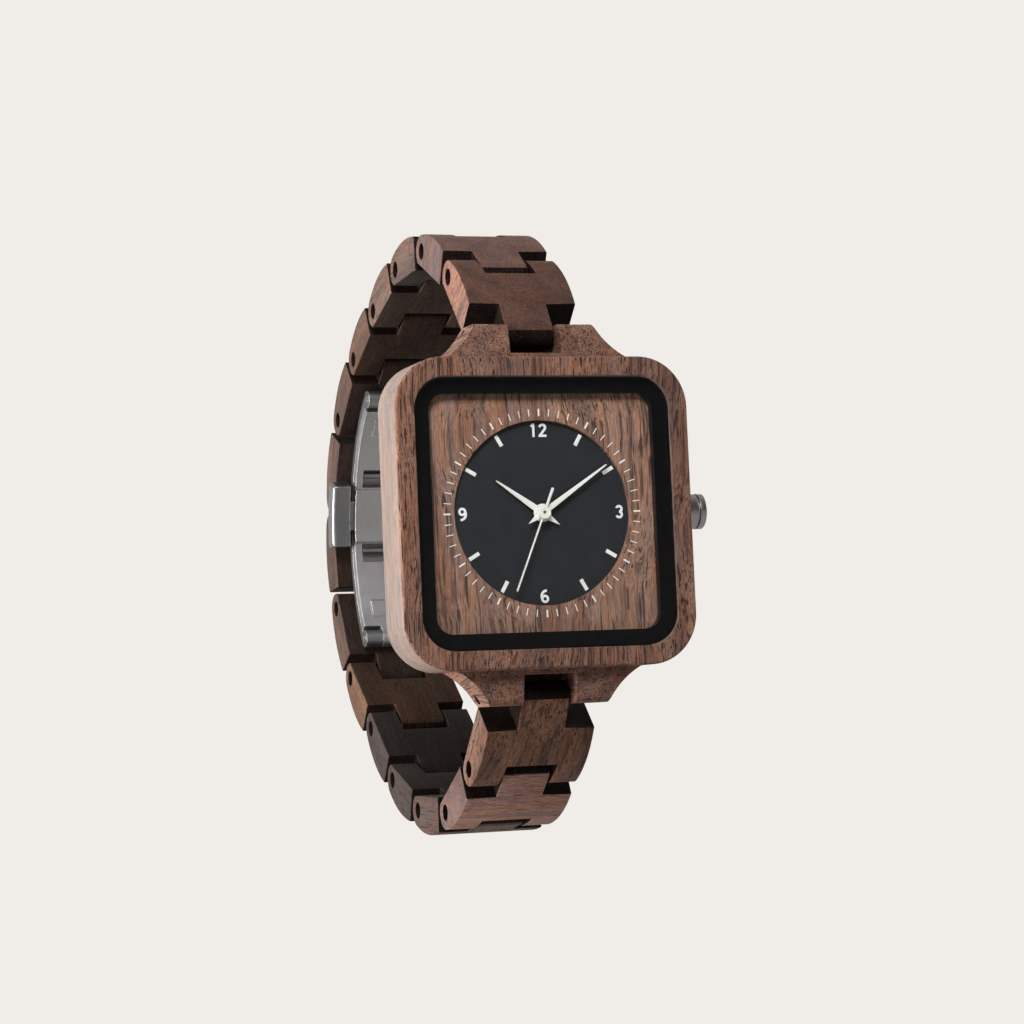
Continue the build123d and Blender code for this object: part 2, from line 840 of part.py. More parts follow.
def crown_y():
    """Place along Y of the stem's axis."""
    return at_depth(crown_depth)


def crown_tube():
    """Steel tube pressed through the case wall, with a narrow inner throat."""
    left, right = cavity_size / 2, case_width / 2 + tube_stand
    tube = rod_x(tube_radius, left, right, crown_y(), 0)
    tube -= rod_x(stem_radius + tube_throat_gap, 0, case_width, crown_y(), 0)
    return tube - rod_x(tube_bore_radius, right - tube_bore_length, case_width, crown_y(), 0)


def crown():
    """Plain two-step crown, hollow over the tube, with a boss on the stem."""
    knob = rod_x(crown_radius, crown_start, crown_end, crown_y(), 0)
    rims = knob.edges().filter_by(GeomType.CIRCLE)
    knob = fillet(rims, crown_edge_round)
    groove_left = crown_start + crown_groove_place
    groove = rod_x(crown_radius + overrun, groove_left, groove_left + crown_groove_width, crown_y(), 0)
    groove -= rod_x(crown_radius - crown_groove_depth, 0, 2 * crown_end, crown_y(), 0)
    knob -= groove
    knob -= rod_x(tube_radius + crown_bore_gap, 0, crown_start + crown_bore_length, crown_y(), 0)
    return knob - rod_x(stem_radius + screw_fit, 0, crown_end - crown_boss_radius, crown_y(), 0)


def winding_stem():
    """Stem from the movement to the crown, with the setting lever's groove."""
    stem = rod_x(stem_radius, stem_inner_x, crown_end - crown_boss_radius, crown_y(), 0)
    ring = rod_x(stem_radius + overrun, stem_groove_x, stem_groove_x + stem_groove_length, crown_y(), 0)
    ring -= rod_x(stem_groove_radius, 0, case_width, crown_y(), 0)
    return stem - ring


def setting_lever():
    """Forked lever in the stem's groove, which holds the crown's pulled position."""
    middle = stem_groove_x + stem_groove_length / 2
    left, right = middle - lever_thick / 2, middle + lever_thick / 2
    front = disc_back + running_fit + lever_depth_margin
    lever = block(left, right, -lever_half_width, lever_half_width, front, plate_back_depth)
    fork = stem_groove_radius + running_fit
    lever -= rod_x(fork, 0, case_width, crown_y(), 0)
    return lever - block(left - overrun, right + overrun, -fork, fork, crown_depth, case_depth)


def crown_gasket():
    """Rubber ring on the stem inside the tube's bore."""
    x = case_width / 2 + tube_stand - gasket_ring_inset
    plane = Plane(origin=(x, crown_y(), 0), x_dir=(0, 1, 0), z_dir=(1, 0, 0))
    return Torus(gasket_ring_radius, gasket_ring_wire).moved(plane.location)


# Bracelet: places of the pins, as (y, z)

def ring_point(radius, angle):
    """Point on a circle about the ring's centre; the angle rises from +Y."""
    return ring_center_y + radius * cos(radians(angle)), ring_center_z + radius * sin(radians(angle))


def chain_points(bend, shares, side):
    """Pins of links laid end to end from zero, with the bend shared among the joints."""
    heading, points = 0.0, [(0.0, 0.0)]
    for share in tuple(shares) + (0,):
        y, z = points[-1]
        points.append((y + link_pitch * cos(heading), z + link_pitch * sin(heading)))
        heading -= side * bend * share
    return points


def arched_chain(start, end, shares, side):
    """Pins of a chain that arches from start to end, outward on the given side."""
    span = hypot(end[0] - start[0], end[1] - start[1])
    low, high = 0.0, pi
    for _ in range(50):
        bend = (low + high) / 2
        if hypot(*chain_points(bend, shares, side)[-1]) > span:
            low = bend
        else:
            high = bend
    points = chain_points(low, shares, side)
    turn = atan2(end[1] - start[1], end[0] - start[0]) - atan2(points[-1][1], points[-1][0])
    return [
        (start[0] + y * cos(turn) - z * sin(turn), start[1] + y * sin(turn) + z * cos(turn))
        for y, z in points
    ]


def pin_angles():
    """Angles about the ring's centre of the last three pins of each half."""
    half_gap = degrees(asin(end_pin_spacing / 2 / ring_radius))
    step = degrees(2 * asin(link_pitch / 2 / ring_radius))
    upper = [ring_tilt + half_gap + i * step for i in (2, 1, 0)]
    lower = [ring_tilt - half_gap - i * step for i in (2, 1, 0)]
    return upper, lower


def upper_pins():
    """Pins of the upper half, from the lug to the clasp."""
    angles = pin_angles()[0]
    arch = arched_chain((lug_pin_y, lug_pin_z), ring_point(ring_radius, angles[0]), upper_bend_shares, 1)
    return arch + [ring_point(ring_radius, a) for a in angles[1:]]


def lower_pins():
    """Pins of the lower half, from the lug to the clasp."""
    angles = pin_angles()[1]
    arch = arched_chain((lug_pin_y, -lug_pin_z), ring_point(ring_radius, angles[0]), lower_bend_shares, -1)
    return arch + [ring_point(ring_radius, a) for a in angles[1:]]


# Bracelet: links

def arch_center():
    """Centre of the outer arc, which starts at the shoulder and runs smoothly into the ear's round."""
    reach = arch_radius - ear_round
    along_x, along_y = link_pitch - shoulder_place, -shoulder_height
    span = hypot(along_x, along_y)
    foot = (arch_radius ** 2 - reach ** 2 + span ** 2) / (2 * span)
    drop = (arch_radius ** 2 - foot ** 2) ** 0.5
    x = shoulder_place + (foot * along_x + drop * along_y) / span
    y = shoulder_height + (foot * along_y - drop * along_x) / span
    return x, y


def body_outline():
    """Side view of a link's wide body."""
    lip = (ear_round ** 2 - link_inner ** 2) ** 0.5
    ear_low = (link_pitch + lip, -link_inner)
    x, y = arch_center()
    high_angle, low_angle = atan2(-y, link_pitch - x), atan2(-link_inner, lip)
    ear_high = (link_pitch + ear_round * cos(high_angle), ear_round * sin(high_angle))
    middle = (high_angle + low_angle) / 2
    ear_middle = (link_pitch + ear_round * cos(middle), ear_round * sin(middle))
    edges = [
        Line((shoulder_place, -link_inner), (shoulder_place, shoulder_height)),
        ThreePointArc((shoulder_place, shoulder_height), (x, y + arch_radius), ear_high),
        ThreePointArc(ear_high, ear_middle, ear_low),
        Line(ear_low, (shoulder_place, -link_inner)),
    ]
    return make_face(Curve() + edges)


def tongue_outline():
    """Side view of a link's narrow tongue."""
    lip = (tongue_round ** 2 - link_inner ** 2) ** 0.5
    low = (-lip, -link_inner)
    edges = [
        Line(low, (tongue_blend_place, -link_inner)),
        Line((tongue_blend_place, -link_inner), (tongue_blend_place, 0)),
        Line((tongue_blend_place, 0), (shoulder_place, shoulder_height)),
        Line((shoulder_place, shoulder_height), (0, tongue_round)),
        ThreePointArc((0, tongue_round), (-tongue_round, 0), low),
    ]
    return make_face(Curve() + edges)


def link_shape():
    """One link in its own frame: body with two ears, tongue, and both pin holes."""
    body = extrude(Pos(0, 0, -band_half) * body_outline(), amount=2 * band_half)
    sides = body.edges().filter_by(lambda e: abs(abs(e.center().Z) - band_half) < link_edge_round / 2)
    body = fillet(sides, link_edge_round)
    link = body + extrude(Pos(0, 0, -tongue_half) * tongue_outline(), amount=2 * tongue_half)
    notch = Box(link_pitch, 2 * link_pitch, 2 * notch_half)
    link -= Pos(link_pitch - notch_reach + link_pitch / 2, 0, 0) * notch
    for x in (0, link_pitch):
        link -= Pos(x, 0, 0) * Cylinder(link_pin_radius + link_pin_fit, 2 * (band_half + overrun))
    for side in (-1, 1):
        depth = counterbore_depth + overrun
        place = side * (band_half - counterbore_depth + depth / 2)
        link -= Pos(link_pitch, 0, place) * Cylinder(counterbore_radius, depth)
    return link


def link_plane(start, end, side):
    """Frame of a link: x from its tongue pin to its ear pin, y out of the ring."""
    direction = (0, end[0] - start[0], end[1] - start[1])
    return Plane(origin=(0, start[0], start[1]), x_dir=direction, z_dir=(side, 0, 0))


def pin_at(place, radius, half_length):
    """Round pin along X, centred on the band."""
    return rod_x(radius, -half_length, half_length, place[0], place[1])


# Clasp

def sector(inner, outer, start, end, left, right):
    """Piece of a curved plate about the ring's centre, between two angles from the clasp's middle."""
    low, high = ring_tilt + start, ring_tilt + end
    middle = (low + high) / 2
    edges = [
        Line(ring_point(inner, low), ring_point(outer, low)),
        ThreePointArc(ring_point(outer, low), ring_point(outer, middle), ring_point(outer, high)),
        Line(ring_point(outer, high), ring_point(inner, high)),
        ThreePointArc(ring_point(inner, high), ring_point(inner, middle), ring_point(inner, low)),
    ]
    return side_solid(make_face(Curve() + edges), left, right)


def both_ways(start, end):
    """An angle span and its mirror image on the other half of the clasp."""
    return (start, end), (-end, -start)


def barrel_back_angle():
    """Angle that a barrel and its gap take up along the curved plate."""
    return degrees(asin((barrel_radius + barrel_gap) / barrel_place_radius))


def barrel_point(side):
    """Axis of the upper (1) or lower (-1) hinge barrel."""
    return ring_point(barrel_place_radius, ring_tilt + side * plate_sweep)


def clasp_plate():
    """Curved inner plate with its housing, windows, stamped lines and two hinge barrels."""
    short = plate_sweep - barrel_back_angle()
    plate = sector(plate_inner_radius, plate_outer_radius, -short, short, -plate_half, plate_half)
    plate += sector(plate_inner_radius, plate_outer_radius, -plate_sweep, plate_sweep,
                    -plate_tongue_half, plate_tongue_half)
    for side in (-1, 1):
        plate += pin_at(barrel_point(side), barrel_radius, plate_tongue_half)
    for low, high in both_ways(window_start, window_end):
        plate -= sector(plate_inner_radius - overrun, plate_outer_radius + overrun, low, high,
                        -window_half, window_half)
    plate += sector(plate_inner_radius - housing_drop, plate_outer_radius, -housing_sweep, housing_sweep,
                    -plate_half, plate_half)
    pocket_out = plunger_inner_radius + plunger_thick + plunger_fit
    pocket = plunger_sweep + degrees(plunger_fit / plate_inner_radius)
    plate -= sector(plunger_inner_radius - plunger_fit, pocket_out, -pocket, pocket,
                    -plate_half - overrun, plate_half + overrun)
    for side in (-1, 1):
        plate -= pin_at(barrel_point(side), hinge_pin_radius + hinge_pin_fit / 3, plate_half + overrun)
    for low, high in both_ways(stamp_start, stamp_end):
        plate -= stamped_frame(low, high)
    return plate


def stamped_frame(low, high):
    """Shallow rectangular line stamped into the plate's inner face."""
    line = degrees(stamp_line / plate_inner_radius)
    deep = plate_inner_radius + stamp_depth
    inner = plate_inner_radius - overrun
    frame = sector(inner, deep, low, high, -stamp_half, stamp_half)
    return frame - sector(inner, deep, low + line, high - line, -stamp_half + stamp_line, stamp_half - stamp_line)


def clasp_blade(side, rod_angle):
    """Folding blade outside the plate, with hinge knuckles, catch rod and the end link's knuckle."""
    def span(low, high):
        return (low, high) if side > 0 else (-high, -low)

    short = plate_sweep - barrel_back_angle()
    radii = (blade_inner_radius, blade_outer_radius)
    blade = sector(*radii, *span(blade_tip, short), -blade_half, blade_half)
    hinge = barrel_point(side)
    inner_x = plate_tongue_half + barrel_gap
    for left, right in ((-blade_half, -inner_x), (inner_x, blade_half)):
        blade += sector(*radii, *span(short, plate_sweep), left, right)
        blade += rod_x(barrel_radius, left, right, *hinge)
    blade -= pin_at(hinge, hinge_pin_radius + hinge_pin_fit, blade_half + overrun)
    rod = ring_point(rod_place_radius, ring_tilt + side * rod_angle)
    blade += pin_at(rod, rod_radius, rod_half)
    half_arm = degrees(rod_arm_width / 2 / rod_place_radius)
    arm = span(rod_angle - half_arm, rod_angle + half_arm)
    for left, right in ((-rod_half, rod_arm_thick - rod_half), (rod_half - rod_arm_thick, rod_half)):
        blade += sector(rod_place_radius, blade_outer_radius, *arm, left, right)
    return blade + end_knuckle(side)


def end_knuckle(side):
    """Eye on the blade's free end, which stands in the end link's notch."""
    half_gap = degrees(asin(end_pin_spacing / 2 / ring_radius))
    place = ring_point(ring_radius, ring_tilt + side * half_gap)
    half_width = degrees(knuckle_width / 2 / ring_radius)
    span = (side * half_gap - half_width, side * half_gap + half_width)
    knuckle = sector(blade_inner_radius, ring_radius, *span, -knuckle_half, knuckle_half)
    knuckle += pin_at(place, knuckle_round, knuckle_half)
    return knuckle - pin_at(place, link_pin_radius + link_pin_fit, band_half)


def clasp_button(side):
    """Push button with its rounded bar and its plunger."""
    left, right = sorted((side * button_root, side * button_face))
    bar = sector(button_inner_radius, button_outer_radius, -button_sweep, button_sweep, left, right)
    outer = bar.faces().sort_by(Axis.X)[-1 if side > 0 else 0]
    bar = fillet(outer.edges(), button_edge_round)
    left, right = sorted((side * plunger_tip, side * (button_root + button_edge_round)))
    return bar + sector(plunger_inner_radius, plunger_inner_radius + plunger_thick,
                        -plunger_sweep, plunger_sweep, left, right)


def button_spring():
    """Folded leaf spring between the two plungers, drawn at its pressed length."""
    y, z = ring_point(plunger_inner_radius + plunger_thick / 2, ring_tilt)
    reach = plunger_inner_radius * radians(spring_sweep)
    points = [
        (-spring_half + 2 * spring_half * i / spring_folds, reach if i % 2 else -reach)
        for i in range(spring_folds + 1)
    ]
    tilt = radians(ring_tilt)
    outward = (0, cos(tilt), sin(tilt))
    plane = Plane(origin=(0, y, z), x_dir=(1, 0, 0), z_dir=outward)
    strip = trace(Polyline(*points), spring_wire)
    return extrude(plane * strip, amount=plunger_thick / 2 - plunger_fit, both=True)


def clasp_hinge_pins():
    """Pins of the two barrels."""
    return Compound(children=[pin_at(barrel_point(s), hinge_pin_radius, blade_half) for s in (1, -1)])


# Build every node

WOOD = (0.42, 0.27, 0.18)
DARK = (0.08, 0.08, 0.10)
STEEL = (0.55, 0.55, 0.56)
WHITE = (0.93, 0.92, 0.88)
BRASS = (0.78, 0.62, 0.32)
GLASS = (0.75, 0.82, 0.85)
GREEN = (0.10, 0.35, 0.20)


def save_case():
    save(case_frame(), "case_frame", WOOD)
    save(case_back(), "case_back", STEEL)
    save(back_screws(), "back_screws", STEEL)
    save(back_gasket(), "back_gasket", DARK)
    save(crystal(), "crystal", GLASS)
    save(dial_mask(), "dial_mask", DARK)
    save(dial_plate(), "dial_plate", WOOD)
    save(dial_disc(), "dial_disc", DARK)
    save(dial_markers(), "dial_markers", WHITE)


def save_movement():
    save(hour_hand(), "hour_hand", WHITE)
    save(minute_hand(), "minute_hand", WHITE)
    save(second_hand(), "second_hand", WHITE)
    save(hour_wheel(), "hour_wheel", BRASS)
    save(cannon_pinion(), "cannon_pinion", BRASS)
    save(minute_wheel(), "minute_wheel", BRASS)
    save(seconds_wheel(), "seconds_wheel", BRASS)
    save(movement_ring(), "movement_ring", WHITE)
    save(main_plate(), "main_plate", BRASS)
    save(train_bridge(), "train_bridge", BRASS)
    save(battery(), "battery", STEEL)
    save(battery_strap(), "battery_strap", STEEL)
    save(circuit_board(), "circuit_board", GREEN)
    save(step_motor(), "step_motor", BRASS)


def save_crown():
    save(crown_tube(), "crown_tube", STEEL)
    save(crown(), "crown", STEEL)
    save(winding_stem(), "winding_stem", STEEL)
    save(setting_lever(), "setting_lever", STEEL)
    save(crown_gasket(), "crown_gasket", DARK)


def save_half(name, pins, side, lug_bar_half):
    """Links of one half, and the pins that each odd link carries at both its ends."""
    shape = link_shape()
    count = len(pins) - 1
    for i in range(count):
        link = shape.moved(link_plane(pins[i], pins[i + 1], side).location)
        save(link, f"link_{name}_{i + 1}", WOOD)
    pin_half = band_half - counterbore_depth + pin_head_rise
    for i in range(0, count, 2):
        first = pin_at(pins[i], link_pin_radius, pin_half)
        if i == 0:
            first = pin_at(pins[i], spring_bar_radius, lug_bar_half)
        pair = Compound(children=[first, pin_at(pins[i + 1], link_pin_radius, pin_half)])
        save(pair, f"pins_{name}_{i + 1}", STEEL)
    if count % 2 == 0:
        save(pin_at(pins[count], link_pin_radius, pin_half), f"pin_{name}_end", STEEL)


def save_bracelet():
    save_half("upper", upper_pins(), 1, spring_bar_half)
    save_half("lower", lower_pins(), -1, drawn_bar_half)


def save_clasp():
    save(clasp_plate(), "clasp_plate", STEEL)
    save(clasp_blade(1, upper_rod), "clasp_upper_blade", STEEL)
    save(clasp_blade(-1, lower_rod), "clasp_lower_blade", STEEL)
    save(clasp_button(-1), "clasp_button_left", STEEL)
    save(clasp_button(1), "clasp_button_right", STEEL)
    save(button_spring(), "button_spring", STEEL)
    save(clasp_hinge_pins(), "clasp_hinge_pins", STEEL)


def main():
    os.makedirs("parts", exist_ok=True)
    save_case()
    save_movement()
    save_crown()
    save_bracelet()
    save_clasp()


main()
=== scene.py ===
"""Looks of the square wooden wristwatch: every piece dressed, and the studio that shows it.

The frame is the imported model's: metres, the origin at the centre of the case back, +Z to twelve o'clock,
+X to the crown, and the dial faces -Y. Sizes below are in millimetres and become metres through MM.
"""
from __future__ import annotations

import json
import logging
from dataclasses import dataclass, field
from enum import Enum
from math import atan2, cos, degrees, hypot, pi, radians, sin, sqrt
from typing import Any, Callable, Sequence

import bpy
from mathutils import Matrix, Vector

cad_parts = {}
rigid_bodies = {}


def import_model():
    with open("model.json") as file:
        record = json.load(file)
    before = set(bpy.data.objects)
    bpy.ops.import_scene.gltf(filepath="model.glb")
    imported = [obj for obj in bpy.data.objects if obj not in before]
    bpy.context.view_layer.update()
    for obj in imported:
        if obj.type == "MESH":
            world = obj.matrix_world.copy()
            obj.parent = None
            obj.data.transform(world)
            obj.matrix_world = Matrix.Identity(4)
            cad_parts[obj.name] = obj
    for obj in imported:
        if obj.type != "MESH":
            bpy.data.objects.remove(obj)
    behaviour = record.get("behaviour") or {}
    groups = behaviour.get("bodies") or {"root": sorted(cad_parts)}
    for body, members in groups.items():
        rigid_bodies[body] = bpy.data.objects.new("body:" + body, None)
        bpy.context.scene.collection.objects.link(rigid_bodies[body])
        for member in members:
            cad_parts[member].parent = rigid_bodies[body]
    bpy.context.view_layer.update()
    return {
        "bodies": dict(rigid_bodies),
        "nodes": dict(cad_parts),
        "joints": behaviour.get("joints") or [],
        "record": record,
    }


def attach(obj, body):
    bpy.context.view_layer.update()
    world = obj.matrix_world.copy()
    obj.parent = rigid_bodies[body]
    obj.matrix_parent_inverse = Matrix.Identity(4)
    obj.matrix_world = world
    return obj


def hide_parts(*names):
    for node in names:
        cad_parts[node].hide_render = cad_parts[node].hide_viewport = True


MM = 0.001
TINY = 1e-6
FLOAT, COLOR, VECTOR = "NodeSocketFloat", "NodeSocketColor", "NodeSocketVector"
LOG = logging.getLogger("wristwatch")

Node, Socket, Tree = bpy.types.Node, bpy.types.NodeSocket, bpy.types.NodeTree
Material, Piece = bpy.types.Material, bpy.types.Object
Rgb = tuple[int, int, int]
Rgba = tuple[float, float, float, float]
Triple = tuple[float, float, float]
Place = tuple[float, float]
Lay = Callable[[float, float, float], Vector]
Tones = tuple[Rgb, Rgb, Rgb, float]


def channel(value: float) -> float:
    """Linear share of a screen channel from 0 to 255, by the sRGB curve."""
    share = value / 255
    return share / 12.92 if share <= 0.04045 else ((share + 0.055) / 1.055) ** 2.4


def linear(color: Rgb) -> Rgba:
    """Screen colour as the linear colour that a shader takes."""
    return channel(color[0]), channel(color[1]), channel(color[2]), 1.0


class GrainAxis(Enum):
    """Direction of a grain or a brushing, as the Euler turn that brings it onto the pattern's long axis."""

    ACROSS = (0.0, -pi / 2, 0.0)
    THROUGH = (pi / 2, 0.0, 0.0)
    UPRIGHT = (0.0, 0.0, 0.0)


# Shader graphs


class Graph:
    """A node tree with short calls that add nodes and join them."""

    def __init__(self, tree: Tree) -> None:
        """Wraps the tree of a material, a world or a group."""
        self.tree = tree

    @classmethod
    def empty(cls, owner: Any) -> Graph:
        """Clears the nodes of a new material or world.

        Args:
            owner: the material or world.

        Returns:
            Its empty graph.
        """
        owner.use_nodes = True
        owner.node_tree.nodes.clear()
        return cls(owner.node_tree)

    def feed(self, node: Node, inputs: dict[Any, Any]) -> Node:
        """Sets the inputs of a node.

        Args:
            node: the node.
            inputs: socket name or number to a value, or to another node's output.

        Returns:
            The same node.
        """
        for key, value in inputs.items():
            if isinstance(value, Socket):
                self.tree.links.new(value, node.inputs[key])
            else:
                node.inputs[key].default_value = value
        return node

    def add(self, kind: str, inputs: dict[Any, Any] | None = None, **settings: Any) -> Node:
        """Adds one shader node.

        Args:
            kind: the node's type name after ShaderNode.
            inputs: its inputs, as feed takes them.
            settings: properties of the node itself.

        Returns:
            The new node.
        """
        node = self.tree.nodes.new(f"ShaderNode{kind}")
        for name, value in settings.items():
            setattr(node, name, value)
        return self.feed(node, inputs or {})

    def group(self, tree: Tree, vector: Socket, **values: Any) -> list[Socket]:
        """Outputs of a shared group that reads its pattern at a vector."""
        return list(self.add("Group", {"Vector": vector, **values}, node_tree=tree).outputs)

    def noise(self, vector: Socket, scale: Triple, detail: float = 2.0, distortion: float = 0.0) -> Socket:
        """Value of a noise pattern whose axes are scaled."""
        scaled = self.add("VectorMath", {0: vector, 1: scale}, operation="MULTIPLY").outputs[0]
        return self.add("TexNoise", {"Vector": scaled, "Scale": 1.0, "Detail": detail,
                                     "Distortion": distortion}).outputs["Fac"]

    def steps(self, value: Socket, low: float, high: float) -> Socket:
        """Value brought smoothly from 0 below low to 1 above high; low may be above high."""
        return self.add("MapRange", {"Value": value, "From Min": low, "From Max": high},
                        interpolation_type="SMOOTHSTEP").outputs["Result"]

    def math(self, operation: str, first: Any, second: Any = 0.0) -> Socket:
        """Result of one arithmetic step on two values."""
        return self.add("Math", {0: first, 1: second}, operation=operation).outputs[0]

    def times(self, first: Any, second: Any) -> Socket:
        """Product of two values."""
        return self.math("MULTIPLY", first, second)

    def plus(self, first: Any, second: Any) -> Socket:
        """Sum of two values."""
        return self.math("ADD", first, second)

    def larger(self, first: Any, second: Any) -> Socket:
        """The larger of two values."""
        return self.math("MAXIMUM", first, second)

    def mix(self, share: Any, first: Any, second: Any, blend: str = "MIX") -> Socket:
        """Colour between two colours."""
        return self.add("Mix", {0: share, 6: first, 7: second}, data_type="RGBA", blend_type=blend).outputs[2]

    def tint(self, color: Any, by: Any) -> Socket:
        """Colour multiplied by another."""
        return self.mix(1.0, color, by, "MULTIPLY")

    def shade(self, share: Socket, first: Socket, second: Socket) -> Socket:
        """Shader between two shaders."""
        return self.add("MixShader", {0: share, 1: first, 2: second}).outputs[0]

    def bump(self, height: Socket, strength: float, depth: float, normal: Socket | None = None) -> Socket:
        """Normal that a height gives.

        Args:
            height: the height, from 0 to 1.
            strength: the node's strength.
            depth: what a height of 1 is, in millimetres.
            normal: the normal that it starts from, where it isn't the surface's own.

        Returns:
            The normal.
        """
        start = {} if normal is None else {"Normal": normal}
        return self.add("Bump", {"Strength": strength, "Distance": depth * MM, "Height": height, **start}).outputs[0]

    def rays(self) -> tuple[Socket, Socket]:
        """Masks of the camera's own and bent rays, and of mirrored rays."""
        path = self.add("LightPath").outputs
        return self.larger(path["Is Camera Ray"], path["Is Transmission Ray"]), path["Is Glossy Ray"]

    def object_place(self) -> Socket:
        """Object coordinates, in metres."""
        return self.add("TexCoord").outputs["Object"]


@dataclass(frozen=True)
class Layer:
    """One noise of a pattern in millimetres, and the two values between which its mask rises."""

    scale: Triple
    detail: float = 2.0
    distortion: float = 0.0
    low: float = 0.0
    high: float = 1.0

    def value(self, graph: Graph, vector: Socket) -> Socket:
        """The noise itself."""
        return graph.noise(vector, self.scale, self.detail, self.distortion)

    def mask(self, graph: Graph, vector: Socket) -> Socket:
        """The noise brought from 0 to 1 between its two values."""
        return graph.steps(self.value(graph, vector), self.low, self.high)


@dataclass(frozen=True)
class WalnutPattern:
    """Layers and shares of the walnut's grain, whose long axis is z."""

    sway: Layer = Layer((0.10, 0.10, 0.05), 1.0)
    sway_reach: float = 5.0
    bands: Layer = Layer((0.42, 0.42, 0.022), 3.0, 0.2, 0.30, 0.68)
    warmth: Layer = Layer((0.55, 0.55, 0.09), 2.0, 0.0, 0.34, 0.66)
    cool: Rgba = (0.91, 0.98, 1.08, 1)
    warm: Rgba = (1.12, 1.0, 0.88, 1)
    flecks: Layer = Layer((9.0, 9.0, 1.3), 1.0, 0.0, 0.56, 0.70)
    fleck_tone: Rgba = (1.7, 1.7, 1.7, 1)
    fleck_share: float = 0.30
    fibres: Layer = Layer((10.0, 10.0, 0.55), 3.0, 0.0, 0.62, 0.36)
    fibre_share: float = 0.45
    veins: Layer = Layer((1.5, 1.5, 0.03), 2.0, 0.15, 0.56, 0.645)
    vein_share: float = 0.62
    lines: Layer = Layer((4.4, 4.4, 0.055), 2.0, 0.15, 0.585, 0.64)
    dashes: Layer = Layer((6.4, 6.4, 0.24), 2.0, 0.0, 0.59, 0.65)
    specks: Layer = Layer((9.0, 9.0, 2.8), 1.0, 0.0, 0.58, 0.67)
    pore_black: Rgba = (0.004, 0.002, 0.001, 1)
    pore_share: float = 0.35
    roughness: float = 0.6
    fibre_roughness: float = 0.16
    pore_roughness: float = 0.2
    fibre_height: float = 0.35


@dataclass(frozen=True)
class EdgePattern:
    """How far a rounded normal turns from the true one at a worn edge, and where the wear is patchy."""

    samples: int = 6
    flat: float = 0.995
    turned: float = 0.86
    patches: Layer = Layer((1.6, 1.6, 1.6), 3.0, 0.0, 0.32, 0.62)


@dataclass(frozen=True)
class BrushPattern:
    """Fine and broad scratches of brushed metal, whose long axis is z."""

    fine: Layer = Layer((22.0, 22.0, 0.6))
    fine_share: float = 0.6
    broad: Layer = Layer((4.0, 4.0, 0.25))
    broad_share: float = 0.4
    contrast: float = 0.5
    roughness: float = 0.18
    roughness_span: float = 0.22


SMEARS = Layer((0.22, 0.22, 0.3), 4.0, 1.0, 0.42, 0.72)
DUST = Layer((9.0, 9.0, 9.0), 1.0, 0.0, 0.735, 0.76)
CLOUDS = Layer((0.5, 0.5, 0.5), 4.0, 0.0, 0.35, 0.7)


